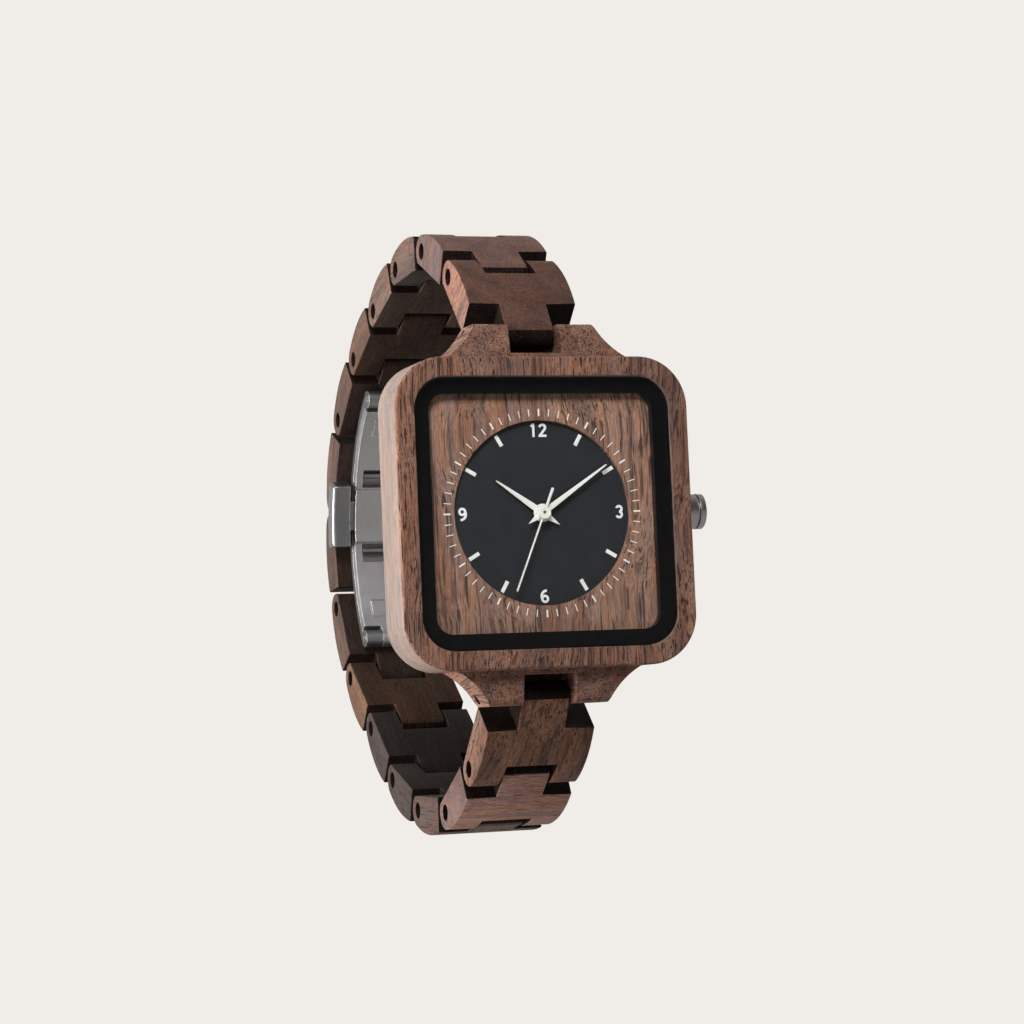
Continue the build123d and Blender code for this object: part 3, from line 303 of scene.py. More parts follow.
class Effects:
    """Shader groups that more than one finish uses, each built once."""

    def __init__(self) -> None:
        """Builds the four groups."""
        self.walnut_grain = self._walnut_grain(WalnutPattern())
        self.worn_edges = self._worn_edges(EdgePattern())
        self.brush_marks = self._brush_marks(BrushPattern())
        self.handling = self._handling()

    @staticmethod
    def _group(name: str, inputs: dict[str, str], outputs: dict[str, str]) -> tuple[Graph, Any, Node]:
        """Makes an empty group with its sockets.

        Args:
            name: the group's name.
            inputs: socket name to its type.
            outputs: socket name to its type.

        Returns:
            The group's graph, what it takes in by name, and its output node.
        """
        tree = bpy.data.node_groups.new(name, "ShaderNodeTree")
        for way, sockets in (("INPUT", inputs), ("OUTPUT", outputs)):
            for label, kind in sockets.items():
                tree.interface.new_socket(label, in_out=way, socket_type=kind)
        return Graph(tree), tree.nodes.new("NodeGroupInput").outputs, tree.nodes.new("NodeGroupOutput")

    def _walnut_grain(self, look: WalnutPattern) -> Tree:
        """Grain of walnut along the pattern's long axis.

        Args:
            look: its layers and shares.

        Returns:
            A group with the wood's colour, its roughness and its height.
        """
        graph, source, out = self._group(
            "walnut_grain", {"Vector": VECTOR, "Light": COLOR, "Middle": COLOR, "Dark": COLOR, "Streaks": FLOAT,
                             "Pores": FLOAT, "Specks": FLOAT},
            {"Color": COLOR, "Roughness": FLOAT, "Height": FLOAT})
        vector, dark = source["Vector"], source["Dark"]
        bend = graph.times(graph.math("SUBTRACT", look.sway.value(graph, vector), 0.5), look.sway_reach)
        shift = graph.add("CombineXYZ", {"X": bend, "Y": bend}).outputs[0]
        swayed = graph.add("VectorMath", {0: vector, 1: shift}, operation="ADD").outputs[0]
        bands, warmth, flecks, veins, lines, dashes = (
            layer.mask(graph, swayed)
            for layer in (look.bands, look.warmth, look.flecks, look.veins, look.lines, look.dashes))
        specks = look.specks.mask(graph, vector)
        fibres = look.fibres.value(graph, swayed)
        fibre_mask = graph.steps(fibres, look.fibres.low, look.fibres.high)
        base = graph.mix(bands, source["Middle"], source["Light"])
        warmed = graph.tint(base, graph.mix(warmth, look.cool, look.warm))
        bright = graph.mix(graph.times(flecks, look.fleck_share), warmed, graph.tint(warmed, look.fleck_tone))
        tinted = graph.mix(graph.times(fibre_mask, look.fibre_share), bright, dark)
        line_mask = graph.larger(lines, graph.times(veins, look.vein_share))
        lined = graph.mix(graph.times(line_mask, source["Streaks"]), tinted, dark)
        both = graph.plus(graph.times(dashes, source["Pores"]), graph.times(specks, source["Specks"]))
        pores = graph.math("MINIMUM", both, 1.0)
        pitted = graph.mix(pores, lined, graph.mix(look.pore_share, dark, look.pore_black))
        rough = graph.plus(graph.times(fibres, look.fibre_roughness), graph.times(pores, look.pore_roughness))
        height = graph.math("SUBTRACT", graph.times(fibres, look.fibre_height), pores)
        graph.feed(out, {"Color": pitted, "Roughness": graph.plus(rough, look.roughness), "Height": height})
        return graph.tree

    def _worn_edges(self, look: EdgePattern) -> Tree:
        """Mask and normal of the softened edges, from how far a rounded normal leaves the true one.

        Args:
            look: where the mask rises.

        Returns:
            A group with a mask of the edges and the softened normal.
        """
        graph, source, out = self._group("worn_edges", {"Radius": FLOAT, "Vector": VECTOR},
                                         {"Mask": FLOAT, "Normal": VECTOR})
        rounded = graph.add("Bevel", {"Radius": source["Radius"]}, samples=look.samples).outputs[0]
        true = graph.add("NewGeometry").outputs["Normal"]
        dot = graph.add("VectorMath", {0: rounded, 1: true}, operation="DOT_PRODUCT").outputs["Value"]
        edges = graph.steps(dot, look.flat, look.turned)
        mask = graph.times(edges, look.patches.mask(graph, source["Vector"]))
        graph.feed(out, {"Mask": mask, "Normal": rounded})
        return graph.tree

    def _brush_marks(self, look: BrushPattern) -> Tree:
        """Fine parallel scratches along the pattern's long axis.

        Args:
            look: the scratches' layers and shares.

        Returns:
            A group with a tone, a roughness and a height.
        """
        graph, source, out = self._group("brush_marks", {"Vector": VECTOR, "Depth": FLOAT},
                                         {"Tone": FLOAT, "Roughness": FLOAT, "Height": FLOAT})
        fine, broad = (layer.value(graph, source["Vector"]) for layer in (look.fine, look.broad))
        both = graph.plus(graph.times(fine, look.fine_share), graph.times(broad, look.broad_share))
        tone = graph.plus(graph.times(graph.math("SUBTRACT", both, 0.5), look.contrast), 1.0)
        rough = graph.plus(graph.times(both, look.roughness_span), look.roughness)
        graph.feed(out, {"Tone": tone, "Roughness": rough, "Height": graph.times(both, source["Depth"])})
        return graph.tree

    def _handling(self) -> Tree:
        """Faint cloudy smears and specks of dust that handling leaves.

        Returns:
            A group with a mask of the smears and one of the dust.
        """
        graph, source, out = self._group("handling", {"Vector": VECTOR}, {"Smear": FLOAT, "Dust": FLOAT})
        smear, dust = (layer.mask(graph, source["Vector"]) for layer in (SMEARS, DUST))
        graph.feed(out, {"Smear": smear, "Dust": dust})
        return graph.tree


# Finishes


@dataclass
class Canvas:
    """A new material while it is painted; its vector is in millimetres, with the pattern's long axis along z."""

    graph: Graph
    shader: Node
    output: Node
    vector: Socket
    effects: Effects

    def edges(self, radius: float) -> list[Socket]:
        """Mask and normal of the edges, softened by a radius in millimetres."""
        return self.graph.group(self.effects.worn_edges, self.vector, Radius=radius * MM)

    def handling(self) -> list[Socket]:
        """Masks of the smears and of the dust."""
        return self.graph.group(self.effects.handling, self.vector)


@dataclass(frozen=True)
class Finish:
    """What every finish shares: a name, and the direction and place of its pattern."""

    name: str
    axis: GrainAxis = GrainAxis.UPRIGHT
    lean: float = 0.0
    shift: Triple = (0.0, 0.0, 0.0)

    def make(self, effects: Effects) -> Material:
        """Builds the material.

        Args:
            effects: the shared groups.

        Returns:
            The painted material.
        """
        material = bpy.data.materials.new(self.name)
        graph = Graph.empty(material)
        shader = graph.add("BsdfPrincipled")
        output = graph.add("OutputMaterial", {"Surface": shader.outputs[0]})
        turn = (self.axis.value[0] + self.lean, *self.axis.value[1:])
        turned = graph.add("Mapping", {"Vector": graph.object_place(), "Rotation": turn, "Scale": (1 / MM,) * 3})
        moved = graph.add("VectorMath", {0: turned.outputs[0], 1: self.shift}, operation="ADD")
        self.paint(Canvas(graph, shader, output, moved.outputs[0], effects))
        return material

    def paint(self, canvas: Canvas) -> None:
        """Feeds the shader; each finish does it in its own way.

        Args:
            canvas: the new material.
        """
        raise NotImplementedError


@dataclass(frozen=True, kw_only=True)
class Walnut(Finish):
    """Oiled walnut with dark pores, and lighter where its edges are rubbed."""

    light: Rgb
    middle: Rgb
    dark: Rgb
    edge: Rgb = (190, 150, 118)
    dust: Rgb = (205, 195, 185)
    streaks: float = 0.8
    pores: float = 0.8
    specks: float = 0.4
    edge_radius: float = 0.12
    edge_share: float = 0.35
    dust_share: float = 0.25
    smear_roughness: float = 0.08
    specular: float = 0.2
    relief: float = 0.55
    relief_depth: float = 0.03

    def grain(self, canvas: Canvas, vector: Socket) -> list[Socket]:
        """Reads the shared grain with this wood's tones.

        Args:
            canvas: the new material.
            vector: the pattern vector, with the grain along its z.

        Returns:
            The wood's colour, roughness and height.
        """
        return canvas.graph.group(canvas.effects.walnut_grain, vector, Light=linear(self.light),
                                  Middle=linear(self.middle), Dark=linear(self.dark), Streaks=self.streaks,
                                  Pores=self.pores, Specks=self.specks)

    def paint(self, canvas: Canvas) -> None:
        """Feeds the shader with the grain, the rubbed edges and the handling marks.

        Args:
            canvas: the new material.
        """
        graph = canvas.graph
        color, roughness, height = self.grain(canvas, canvas.vector)
        worn, normal = canvas.edges(self.edge_radius)
        smear, dust = canvas.handling()
        rubbed = graph.mix(graph.times(worn, self.edge_share), color, linear(self.edge))
        graph.feed(canvas.shader, {
            "Base Color": graph.mix(graph.times(dust, self.dust_share), rubbed, linear(self.dust)),
            "Roughness": graph.plus(roughness, graph.times(smear, self.smear_roughness)),
            "Specular IOR Level": self.specular,
            "Normal": graph.bump(height, self.relief, self.relief_depth, normal)})


@dataclass(frozen=True, kw_only=True)
class LinkWalnut(Walnut):
    """Walnut of a link: its side walls get a painted light tone, lighter or darker and cooler as the key light and
    its sheen fall on them, and its inner side is darkened as painted shade.
    """

    # Painted light: how much lighter or darker the side walls are made, for how the key light falls on them.
    wall_painted_light: float
    # Painted sheen: the side walls' tone turns cooler and paler by this.
    wall_sheen_cool: float = 1.12
    # Painted shade: the share of its own colour that the inner side of the ring keeps.
    skin: float = 0.3
    skin_dullness: float = 0.3

    def grain(self, canvas: Canvas, vector: Socket) -> list[Socket]:
        """Reads the shared grain and paints light and shade on the faces that the link's own attributes mark: a
        lighter or darker, cooler tone on the side walls, and shade on the inner side.

        Args:
            canvas: the new material.
            vector: the pattern vector, with the grain along its z.

        Returns:
            The wood's colour, roughness and height.
        """
        graph = canvas.graph
        color, roughness, height = super().grain(canvas, vector)
        # Painted light: side walls toned for how light falls on them, and the inner side darkened as shade.
        for attribute, tone, cool in (("side_wall", self.wall_painted_light, self.wall_sheen_cool), ("inner_side_shade", self.skin, 1.0)):
            share = graph.add("Attribute", attribute_name=attribute).outputs["Fac"]
            color = graph.mix(share, color, graph.tint(color, (tone, tone * cool, tone * cool ** 2, 1)))
        return [color, graph.plus(roughness, graph.times(share, self.skin_dullness)), height]


@dataclass(frozen=True, kw_only=True)
class CaseWalnut(Walnut):
    """Walnut of the case, whose lugs show end grain on their front and whose side walls get a painted pale sheen."""

    lug_from: float = 17.0
    lug_blend: float = 0.08
    front: float = -8.0
    wall_starts: float = 0.1
    wall_full: float = 0.5
    # Painted sheen: the pale grey that the side walls behind the front are mixed towards, as the grazing key light's
    # sheen.
    wall_sheen_color: Rgb = (150, 146, 139)
    wall_sheen_share: float = 0.35

    def grain(self, canvas: Canvas, vector: Socket) -> list[Socket]:
        """Reads upright grain on the case and, above and below it, grain that runs front to back, and paints a pale
        sheen on the side walls.

        Args:
            canvas: the new material.
            vector: the pattern vector, with the case's grain along its z.

        Returns:
            The wood's colour, roughness and height.
        """
        graph = canvas.graph
        upright = super().grain(canvas, vector)
        turned = graph.add("Mapping", {"Vector": vector, "Rotation": GrainAxis.THROUGH.value})
        through = super().grain(canvas, turned.outputs[0])
        place = graph.add("SeparateXYZ", {0: graph.object_place()}).outputs
        lug = graph.steps(graph.math("ABSOLUTE", place["Z"]), self.lug_from * MM,
                          (self.lug_from + self.lug_blend) * MM)
        behind = graph.steps(place["Y"], (self.front + self.wall_starts) * MM, (self.front + self.wall_full) * MM)
        # Painted sheen: share of the pale grey on the side walls, away from the lugs.
        pale = graph.times(graph.times(behind, graph.math("SUBTRACT", 1.0, lug)), self.wall_sheen_share)
        color = graph.mix(pale, graph.mix(lug, upright[0], through[0]), linear(self.wall_sheen_color))
        return [color, *(graph.add("Mix", {0: lug, 2: a, 3: b}).outputs[0]
                         for a, b in zip(upright[1:], through[1:]))]


@dataclass(frozen=True, kw_only=True)
class BrushedMetal(Finish):
    """Brushed steel: fine scratches, softened brighter edges and faint smears."""

    color: Rgb
    edge: Rgb = (225, 225, 226)
    roughness: float = 0.12
    smear_roughness: float = 0.06
    depth: float = 1.0
    edge_radius: float = 0.12
    edge_share: float = 0.7
    relief: float = 0.25
    relief_depth: float = 0.01

    def paint(self, canvas: Canvas) -> None:
        """Feeds the shader with the scratches, the edges and the handling marks.

        Args:
            canvas: the new material.
        """
        graph = canvas.graph
        tone, scratched, height = graph.group(canvas.effects.brush_marks, canvas.vector, Depth=self.depth)
        worn, normal = canvas.edges(self.edge_radius)
        smear = canvas.handling()[0]
        grey = graph.add("CombineXYZ", {"X": tone, "Y": tone, "Z": tone}).outputs[0]
        toned = graph.tint(linear(self.color), grey)
        rough = graph.plus(scratched, self.roughness)
        graph.feed(canvas.shader, {
            "Base Color": graph.mix(graph.times(worn, self.edge_share), toned, linear(self.edge)),
            "Roughness": graph.plus(rough, graph.times(smear, self.smear_roughness)),
            "Metallic": 1.0,
            "Normal": graph.bump(height, self.relief, self.relief_depth, normal)})


@dataclass(frozen=True, kw_only=True)
class Coated(Finish):
    """Paint, lacquer, moulded plastic or rubber: one colour with a fine skin and faint clouds."""

    color: Rgb
    second: Rgb
    roughness: float
    skin_roughness: float = 0.12
    grain_size: float = 6.0
    skin: float = 0.15
    skin_depth: float = 0.01
    specular: float = 0.5
    edge_radius: float = 0.06

    def paint(self, canvas: Canvas) -> None:
        """Feeds the shader with a fine skin and faint clouds of the second colour.

        Args:
            canvas: the new material.
        """
        graph = canvas.graph
        normal = canvas.edges(self.edge_radius)[1]
        skin = graph.noise(canvas.vector, (self.grain_size,) * 3)
        clouds = CLOUDS.mask(graph, canvas.vector)
        graph.feed(canvas.shader, {
            "Base Color": graph.mix(clouds, linear(self.color), linear(self.second)),
            "Roughness": graph.plus(graph.times(skin, self.skin_roughness), self.roughness),
            "Specular IOR Level": self.specular,
            "Normal": graph.bump(skin, self.skin, self.skin_depth, normal)})


@dataclass(frozen=True)
class ClearGlass(Finish):
    """Clear coated mineral glass: it mirrors little, and lets the lamps' light through to the dial."""

    tint: Rgb = (248, 251, 252)
    specular: float = 0.12
    ior: float = 1.46
    smear_roughness: float = 0.012

    def paint(self, canvas: Canvas) -> None:
        """Feeds the glass; it bends what the camera sees, and light from the room passes it unbent.

        Args:
            canvas: the new material.
        """
        graph = canvas.graph
        graph.feed(canvas.shader, {
            "Base Color": linear(self.tint), "Transmission Weight": 1.0, "IOR": self.ior,
            "Specular IOR Level": self.specular,
            "Roughness": graph.times(canvas.handling()[0], self.smear_roughness)})
        clear = graph.add("BsdfTransparent").outputs[0]
        graph.feed(canvas.output, {"Surface": graph.shade(graph.rays()[0], clear, canvas.shader.outputs[0])})


@dataclass(frozen=True)
class CircuitBoard(Finish):
    """Green varnished board with copper tracks under the varnish."""

    green: Rgb = (24, 92, 58)
    second_green: Rgb = (20, 80, 50)
    copper: Rgb = (150, 120, 60)
    track_scale: float = 1.6
    track_width: float = 0.06
    roughness: float = 0.2
    skin_roughness: float = 0.1
    skin: Layer = Layer((3.0, 3.0, 3.0))
    relief: float = 0.3
    relief_depth: float = 0.02

    def paint(self, canvas: Canvas) -> None:
        """Feeds the shader with the varnish, the tracks and a faint skin.

        Args:
            canvas: the new material.
        """
        graph = canvas.graph
        tracks = graph.add("TexBrick", {
            "Vector": canvas.vector, "Scale": self.track_scale, "Mortar Size": self.track_width,
            "Color1": linear(self.green), "Color2": linear(self.second_green), "Mortar": linear(self.copper)})
        skin = graph.times(self.skin.value(graph, canvas.vector), self.skin_roughness)
        graph.feed(canvas.shader, {
            "Base Color": tracks.outputs["Color"], "Roughness": graph.plus(skin, self.roughness),
            "Normal": graph.bump(tracks.outputs["Fac"], self.relief, self.relief_depth)})


# Modelling with the mesh operators


class Bench:
    """Makes a piece as by hand: a primitive, work in edit mode, then modifiers that are applied."""

    @staticmethod
    def clear() -> None:
        """Leaves edit mode and deselects everything."""
        active = bpy.context.view_layer.objects.active
        if active is not None and active.mode != "OBJECT":
            bpy.ops.object.mode_set(mode="OBJECT")
        bpy.ops.object.select_all(action="DESELECT")

    @staticmethod
    def pick(piece: Piece) -> None:
        """Makes one piece the only selected and the active one.

        Args:
            piece: the piece to work on.
        """
        Bench.clear()
        piece.select_set(True)
        bpy.context.view_layer.objects.active = piece

    @staticmethod
    def settle(name: str) -> Piece:
        """Names the active object and puts its place and turn into its mesh.

        Args:
            name: the piece's name.

        Returns:
            The piece, with its object at the origin.
        """
        piece = bpy.context.view_layer.objects.active
        piece.name = name
        piece.data.name = name
        Bench.pick(piece)
        bpy.ops.object.transform_apply(location=True, rotation=True, scale=True)
        return piece

    @staticmethod
    def box(name: str, low: Sequence[float], high: Sequence[float]) -> Piece:
        """Adds a box.

        Args:
            name: the piece's name.
            low: its lowest corner, in metres.
            high: its highest corner, in metres.

        Returns:
            The box.
        """
        Bench.clear()
        middle = [(a + b) / 2 for a, b in zip(low, high)]
        size = [b - a for a, b in zip(low, high)]
        bpy.ops.mesh.primitive_cube_add(size=1, location=middle, scale=size)
        return Bench.settle(name)

    @staticmethod
    def rod(name: str, radius: float, start: Sequence[float], end: Sequence[float], sides: int = 48) -> Piece:
        """Adds a round rod between two points, in metres.

        Args:
            name: the piece's name.
            radius: the rod's radius.
            start: centre of its first end.
            end: centre of its other end.
            sides: number of flats around it.

        Returns:
            The rod.
        """
        Bench.clear()
        axis = Vector(end) - Vector(start)
        bpy.ops.mesh.primitive_cylinder_add(
            vertices=sides, radius=radius, depth=axis.length, location=(Vector(start) + Vector(end)) / 2,
            rotation=axis.to_track_quat("Z", "Y").to_euler())
        return Bench.settle(name)

    @staticmethod
    def prism(name: str, outline: Sequence[Place], start: float, length: float, lay: Lay) -> Piece:
        """Adds a filled circle, moves its rim to an outline, and extrudes it.

        Args:
            name: the piece's name.
            outline: points of the rim in order, in millimetres.
            start: where the flat outline lies along the third direction, in millimetres.
            length: how far it is extruded, in millimetres.
            lay: gives the place in metres of a point (first, second, third) in millimetres.

        Returns:
            The closed piece.
        """
        Bench.clear()
        bpy.ops.mesh.primitive_circle_add(vertices=len(outline), radius=1 * MM, fill_type="NGON")
        piece = Bench.settle(name)
        for vertex, (a, b) in zip(piece.data.vertices, outline):
            vertex.co = lay(a, b, start)
        move = lay(0, 0, length) - lay(0, 0, 0)
        bpy.ops.object.mode_set(mode="EDIT")
        bpy.ops.mesh.select_all(action="SELECT")
        bpy.ops.mesh.extrude_region_move(TRANSFORM_OT_translate={"value": move})
        bpy.ops.mesh.select_all(action="SELECT")
        bpy.ops.mesh.normals_make_consistent(inside=False)
        bpy.ops.object.mode_set(mode="OBJECT")
        return piece

    @staticmethod
    def modify(piece: Piece, kind: str, **settings: Any) -> None:
        """Adds one modifier and applies it.

        Args:
            piece: the piece to work on.
            kind: the modifier's type.
            settings: its properties.
        """
        Bench.pick(piece)
        modifier = piece.modifiers.new(kind.lower(), kind)
        for name, value in settings.items():
            setattr(modifier, name, value)
        bpy.ops.object.modifier_apply(modifier=modifier.name)

    @staticmethod
    def combine(piece: Piece, tool: Piece, how: str) -> None:
        """Adds, cuts or keeps the common part of two closed pieces, and removes the tool."""
        Bench.modify(piece, "BOOLEAN", object=tool, operation=how, solver="EXACT")
        bpy.data.objects.remove(tool)

    @staticmethod
    def soften(piece: Piece, width: float, segments: int = 3, angle: float = 35.0) -> None:
        """Rounds every edge that turns by more than an angle; the width is in millimetres."""
        Bench.modify(piece, "BEVEL", width=width * MM, segments=segments, limit_method="ANGLE",
                     angle_limit=radians(angle), use_clamp_overlap=True, miter_outer="MITER_ARC")

    @staticmethod
    def smooth(piece: Piece, angle: float = 32.0) -> None:
        """Shades a piece smooth across edges that turn by less than an angle."""
        Bench.pick(piece)
        bpy.ops.object.shade_smooth_by_angle(angle=radians(angle))

    @staticmethod
    def select_faces(piece: Piece, test: Callable[[bpy.types.MeshPolygon], bool]) -> None:
        """Enters edit mode with only the faces that pass a test selected.

        Args:
            piece: the piece to work on.
            test: says whether a face is wanted.
        """
        Bench.pick(piece)
        bpy.ops.object.mode_set(mode="EDIT")
        bpy.ops.mesh.select_mode(type="FACE")
        bpy.ops.mesh.select_all(action="DESELECT")
        bpy.ops.object.mode_set(mode="OBJECT")
        for face in piece.data.polygons:
            face.select = test(face)
        bpy.ops.object.mode_set(mode="EDIT")

    @staticmethod
    def twin(piece: Piece, name: str, move: Matrix) -> Piece:
        """Copies a piece with its own mesh.

        Args:
            piece: the piece to copy.
            name: the copy's name.
            move: where its mesh goes.

        Returns:
            The copy.
        """
        copy = bpy.data.objects.new(name, piece.data.copy())
        copy.data.name = name
        bpy.context.scene.collection.objects.link(copy)
        copy.data.transform(move)
        return copy

    @staticmethod
    def join(name: str, pieces: Sequence[Piece]) -> Piece:
        """Joins separate pieces into one object.

        Args:
            name: the joined piece's name.
            pieces: the pieces.

        Returns:
            The joined piece.
        """
        Bench.clear()
        for piece in pieces:
            piece.select_set(True)
        bpy.context.view_layer.objects.active = pieces[0]
        bpy.ops.object.join()
        return Bench.settle(name)


def arc(center: Place, radius: float, start: float, end: float, count: int) -> list[Place]:
    """Points along an arc in a number of steps, both ends included; the angles are in degrees."""
    turns = [radians(start + (end - start) * i / count) for i in range(count + 1)]
    return [(center[0] + radius * cos(turn), center[1] + radius * sin(turn)) for turn in turns]


@dataclass
class Workshop:
    """What every sub-assembly works with: the frame, the shared groups and the made materials."""

    frame: dict[str, Any]
    effects: Effects
    made: dict[str, Material] = field(default_factory=dict)
    # Painted shade: a near-black wood for the pin holes and the joint's hidden faces, standing for their shadow.
    recess_shade: Finish = Walnut("walnut_bore", light=(34, 24, 20), middle=(24, 17, 14), dark=(10, 7, 6),
                              edge=(60, 44, 36), edge_share=0.1, specular=0.04)

    def material(self, finish: Finish) -> Material:
        """Material of a finish, made once.

        Args:
            finish: the finish.

        Returns:
            Its material.
        """
        if finish.name not in self.made:
            self.made[finish.name] = finish.make(self.effects)
        return self.made[finish.name]

    def dress(self, finish: Finish, *nodes: str) -> None:
        """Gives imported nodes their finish.

        Args:
            finish: the finish.
            nodes: the nodes' names.
        """
        for node in nodes:
            materials = self.frame["nodes"][node].data.materials
            materials.clear()
            materials.append(self.material(finish))
            LOG.info("dressed %s in %s", node, finish.name)

    def install(self, piece: Piece, finish: Finish, body: str, slot: str, *nodes: str) -> None:
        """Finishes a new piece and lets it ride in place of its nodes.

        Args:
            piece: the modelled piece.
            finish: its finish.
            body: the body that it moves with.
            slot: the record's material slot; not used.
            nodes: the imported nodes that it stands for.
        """
        if len(piece.data.materials) > 1:
            piece.data.materials[0] = self.material(finish)
            piece.data.materials[1] = self.material(self.recess_shade)
        else:
            piece.data.materials.clear()
            piece.data.materials.append(self.material(finish))
        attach(piece, body)
        if nodes:
            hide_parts(*nodes)
        LOG.info("installed %s on %s for %s", piece.name, body, ", ".join(nodes) or "no node")

    def pivot(self, joint: str) -> Vector:
        """Place of a joint's axis, in metres."""
        found = next(j for j in self.frame["joints"] if j["name"] == joint)
        return Vector(found["pos_m"])


# The bracelet


@dataclass
class LinkForm:
    """Side view and widths of one wooden link, in millimetres; x runs along it and y out of the ring."""

    pitch: float = 10.5
    band_half: float = 6.3
    tongue_half: float = 2.78
    notch_half: float = 3.0
    notch_reach: float = 2.6
    ear_round: float = 1.95
    tongue_round: float = 1.85
    inner: float = 1.7
    shoulder_place: float = 2.55
    shoulder_height: float = 2.35
    arch_radius: float = 14.5
    tongue_end: float = 6.0
    pin_hole: float = 0.6
    bore: float = 0.95
    bore_depth: float = 1.0
    softness: float = 0.17
    arch_steps: int = 14
    ear_steps: int = 20
    tongue_steps: int = 22
    hole_slack: float = 0.03
    mouth_slack: float = 0.06
    cheek_slack: float = 0.1
    near: float = 0.12
    facing: float = 0.7
    square: float = 0.8
    tongue_facing: float = 0.6
    tongue_share: float = 0.4
    wall_from: float = 6.0

    def arch_center(self) -> Place:
        """Finds the outer arc, which starts at the shoulder and meets the ear's round smoothly.

        Returns:
            The arc's centre.
        """
        reach = self.arch_radius - self.ear_round
        along, fall = self.pitch - self.shoulder_place, -self.shoulder_height
        span = hypot(along, fall)
        foot = (self.arch_radius ** 2 - reach ** 2 + span ** 2) / (2 * span)
        drop = sqrt(self.arch_radius ** 2 - foot ** 2)
        return (self.shoulder_place + (foot * along + drop * fall) / span,
                self.shoulder_height + (foot * fall - drop * along) / span)

    def body_outline(self) -> list[Place]:
        """Draws the wide body's side view, from the shoulder's foot round to the ear.

        Returns:
            The outline's points.
        """
        x, y = self.arch_center()
        start = degrees(atan2(self.shoulder_height - y, self.shoulder_place - x))
        ear_start = degrees(atan2(-y, self.pitch - x))
        ear_end = degrees(atan2(-self.inner, sqrt(self.ear_round ** 2 - self.inner ** 2)))
        return [(self.shoulder_place, -self.inner),
                *arc((x, y), self.arch_radius, start, ear_start, self.arch_steps),
                *arc((self.pitch, 0), self.ear_round, ear_start, ear_end, self.ear_steps)[1:]]

    def tongue_outline(self) -> list[Place]:
        """Side view of the tongue, which runs a little way into the body."""
        low = degrees(atan2(-self.inner, -sqrt(self.tongue_round ** 2 - self.inner ** 2)))
        return [*arc((0, 0), self.tongue_round, 90, low + 360, self.tongue_steps), (self.tongue_end, -self.inner),
                (self.tongue_end, 0), (self.shoulder_place, self.shoulder_height)]

    @staticmethod
    def lay(x: float, y: float, z: float) -> Vector:
        """Place in metres of a point in the link's own frame."""
        return Vector((x * MM, y * MM, z * MM))

    def build(self) -> Piece:
        """Models one link at the origin, with its notch, pin holes and softened edges.

        Returns:
            The link in its own frame.
        """
        lay, past = self.lay, self.pitch
        body = Bench.prism("link_model", self.body_outline(), -self.band_half, 2 * self.band_half, lay)
        tongue = Bench.prism("tongue", self.tongue_outline(), -self.tongue_half, 2 * self.tongue_half, lay)
        Bench.combine(body, tongue, "UNION")
        cuts = [Bench.box("notch", lay(self.pitch - self.notch_reach, -past, -self.notch_half),
                          lay(2 * past, past, self.notch_half))]
        cuts += [Bench.rod("hole", self.pin_hole * MM, lay(x, 0, -past), lay(x, 0, past), 32)
                 for x in (0.0, self.pitch)]
        cuts += [Bench.rod("bore", self.bore * MM, lay(self.pitch, 0, side * past),
                           lay(self.pitch, 0, side * (self.band_half - self.bore_depth)), 40) for side in (-1, 1)]
        for cut in cuts:
            Bench.combine(body, cut, "DIFFERENCE")
        Bench.soften(body, self.softness)
        Bench.smooth(body)
        self.shade_recesses(body)
        self.mark_sides(body)
        return body

    def hidden(self, center: Vector, normal: Vector) -> bool:
        """Says whether a face lies in a pin hole or in the joint, where a near-black wood paints the shade.

        Args:
            center: the face's centre in the link's own frame, in millimetres.
            normal: its normal.

        Returns:
            True for a dark face.
        """
        x, y, across = center.x, center.y, abs(center.z)
        round_pin = min(hypot(x, y), hypot(x - self.pitch, y)) < self.bore + self.hole_slack
        bored = round_pin and across < self.band_half - self.mouth_slack
        shoulder = normal.x < -self.facing and abs(x - self.shoulder_place) < self.near
        notch_floor = normal.x > self.facing and abs(x - (self.pitch - self.notch_reach)) < self.near
        cheeks = abs(normal.z) > self.square and across < self.notch_half + self.cheek_slack
        tongue_end = normal.x < -self.tongue_facing and x < -self.tongue_share * self.tongue_round
        return bored or shoulder or notch_floor or cheeks or tongue_end

    def shade_recesses(self, body: Piece) -> None:
        """Gives the pin holes and the joint's hidden faces the second material, a near-black wood that paints their
        shade.

        Args:
            body: the link in its own frame.
        """
        for name in ("wood", "recess_shade"):
            body.data.materials.append(bpy.data.materials.new(f"{name}_place"))
        for face in body.data.polygons:
            if self.hidden(face.center / MM, face.normal):
                face.material_index = 1

    def mark_sides(self, body: Piece) -> None:
        """Marks the side walls and the inner side, on which the wood's finish paints light and shade.

        Args:
            body: the link in its own frame.
        """
        tests = {"side_wall": lambda face: (abs(face.normal.z) > self.square
                                            and abs(face.center.z) > self.wall_from * MM),
                 "inner_side_shade": lambda face: face.normal.y < -self.square}
        for name, test in tests.items():
            marks = body.data.attributes.new(name, "FLOAT", "FACE")
            for face in body.data.polygons:
                marks.data[face.index].value = float(test(face))


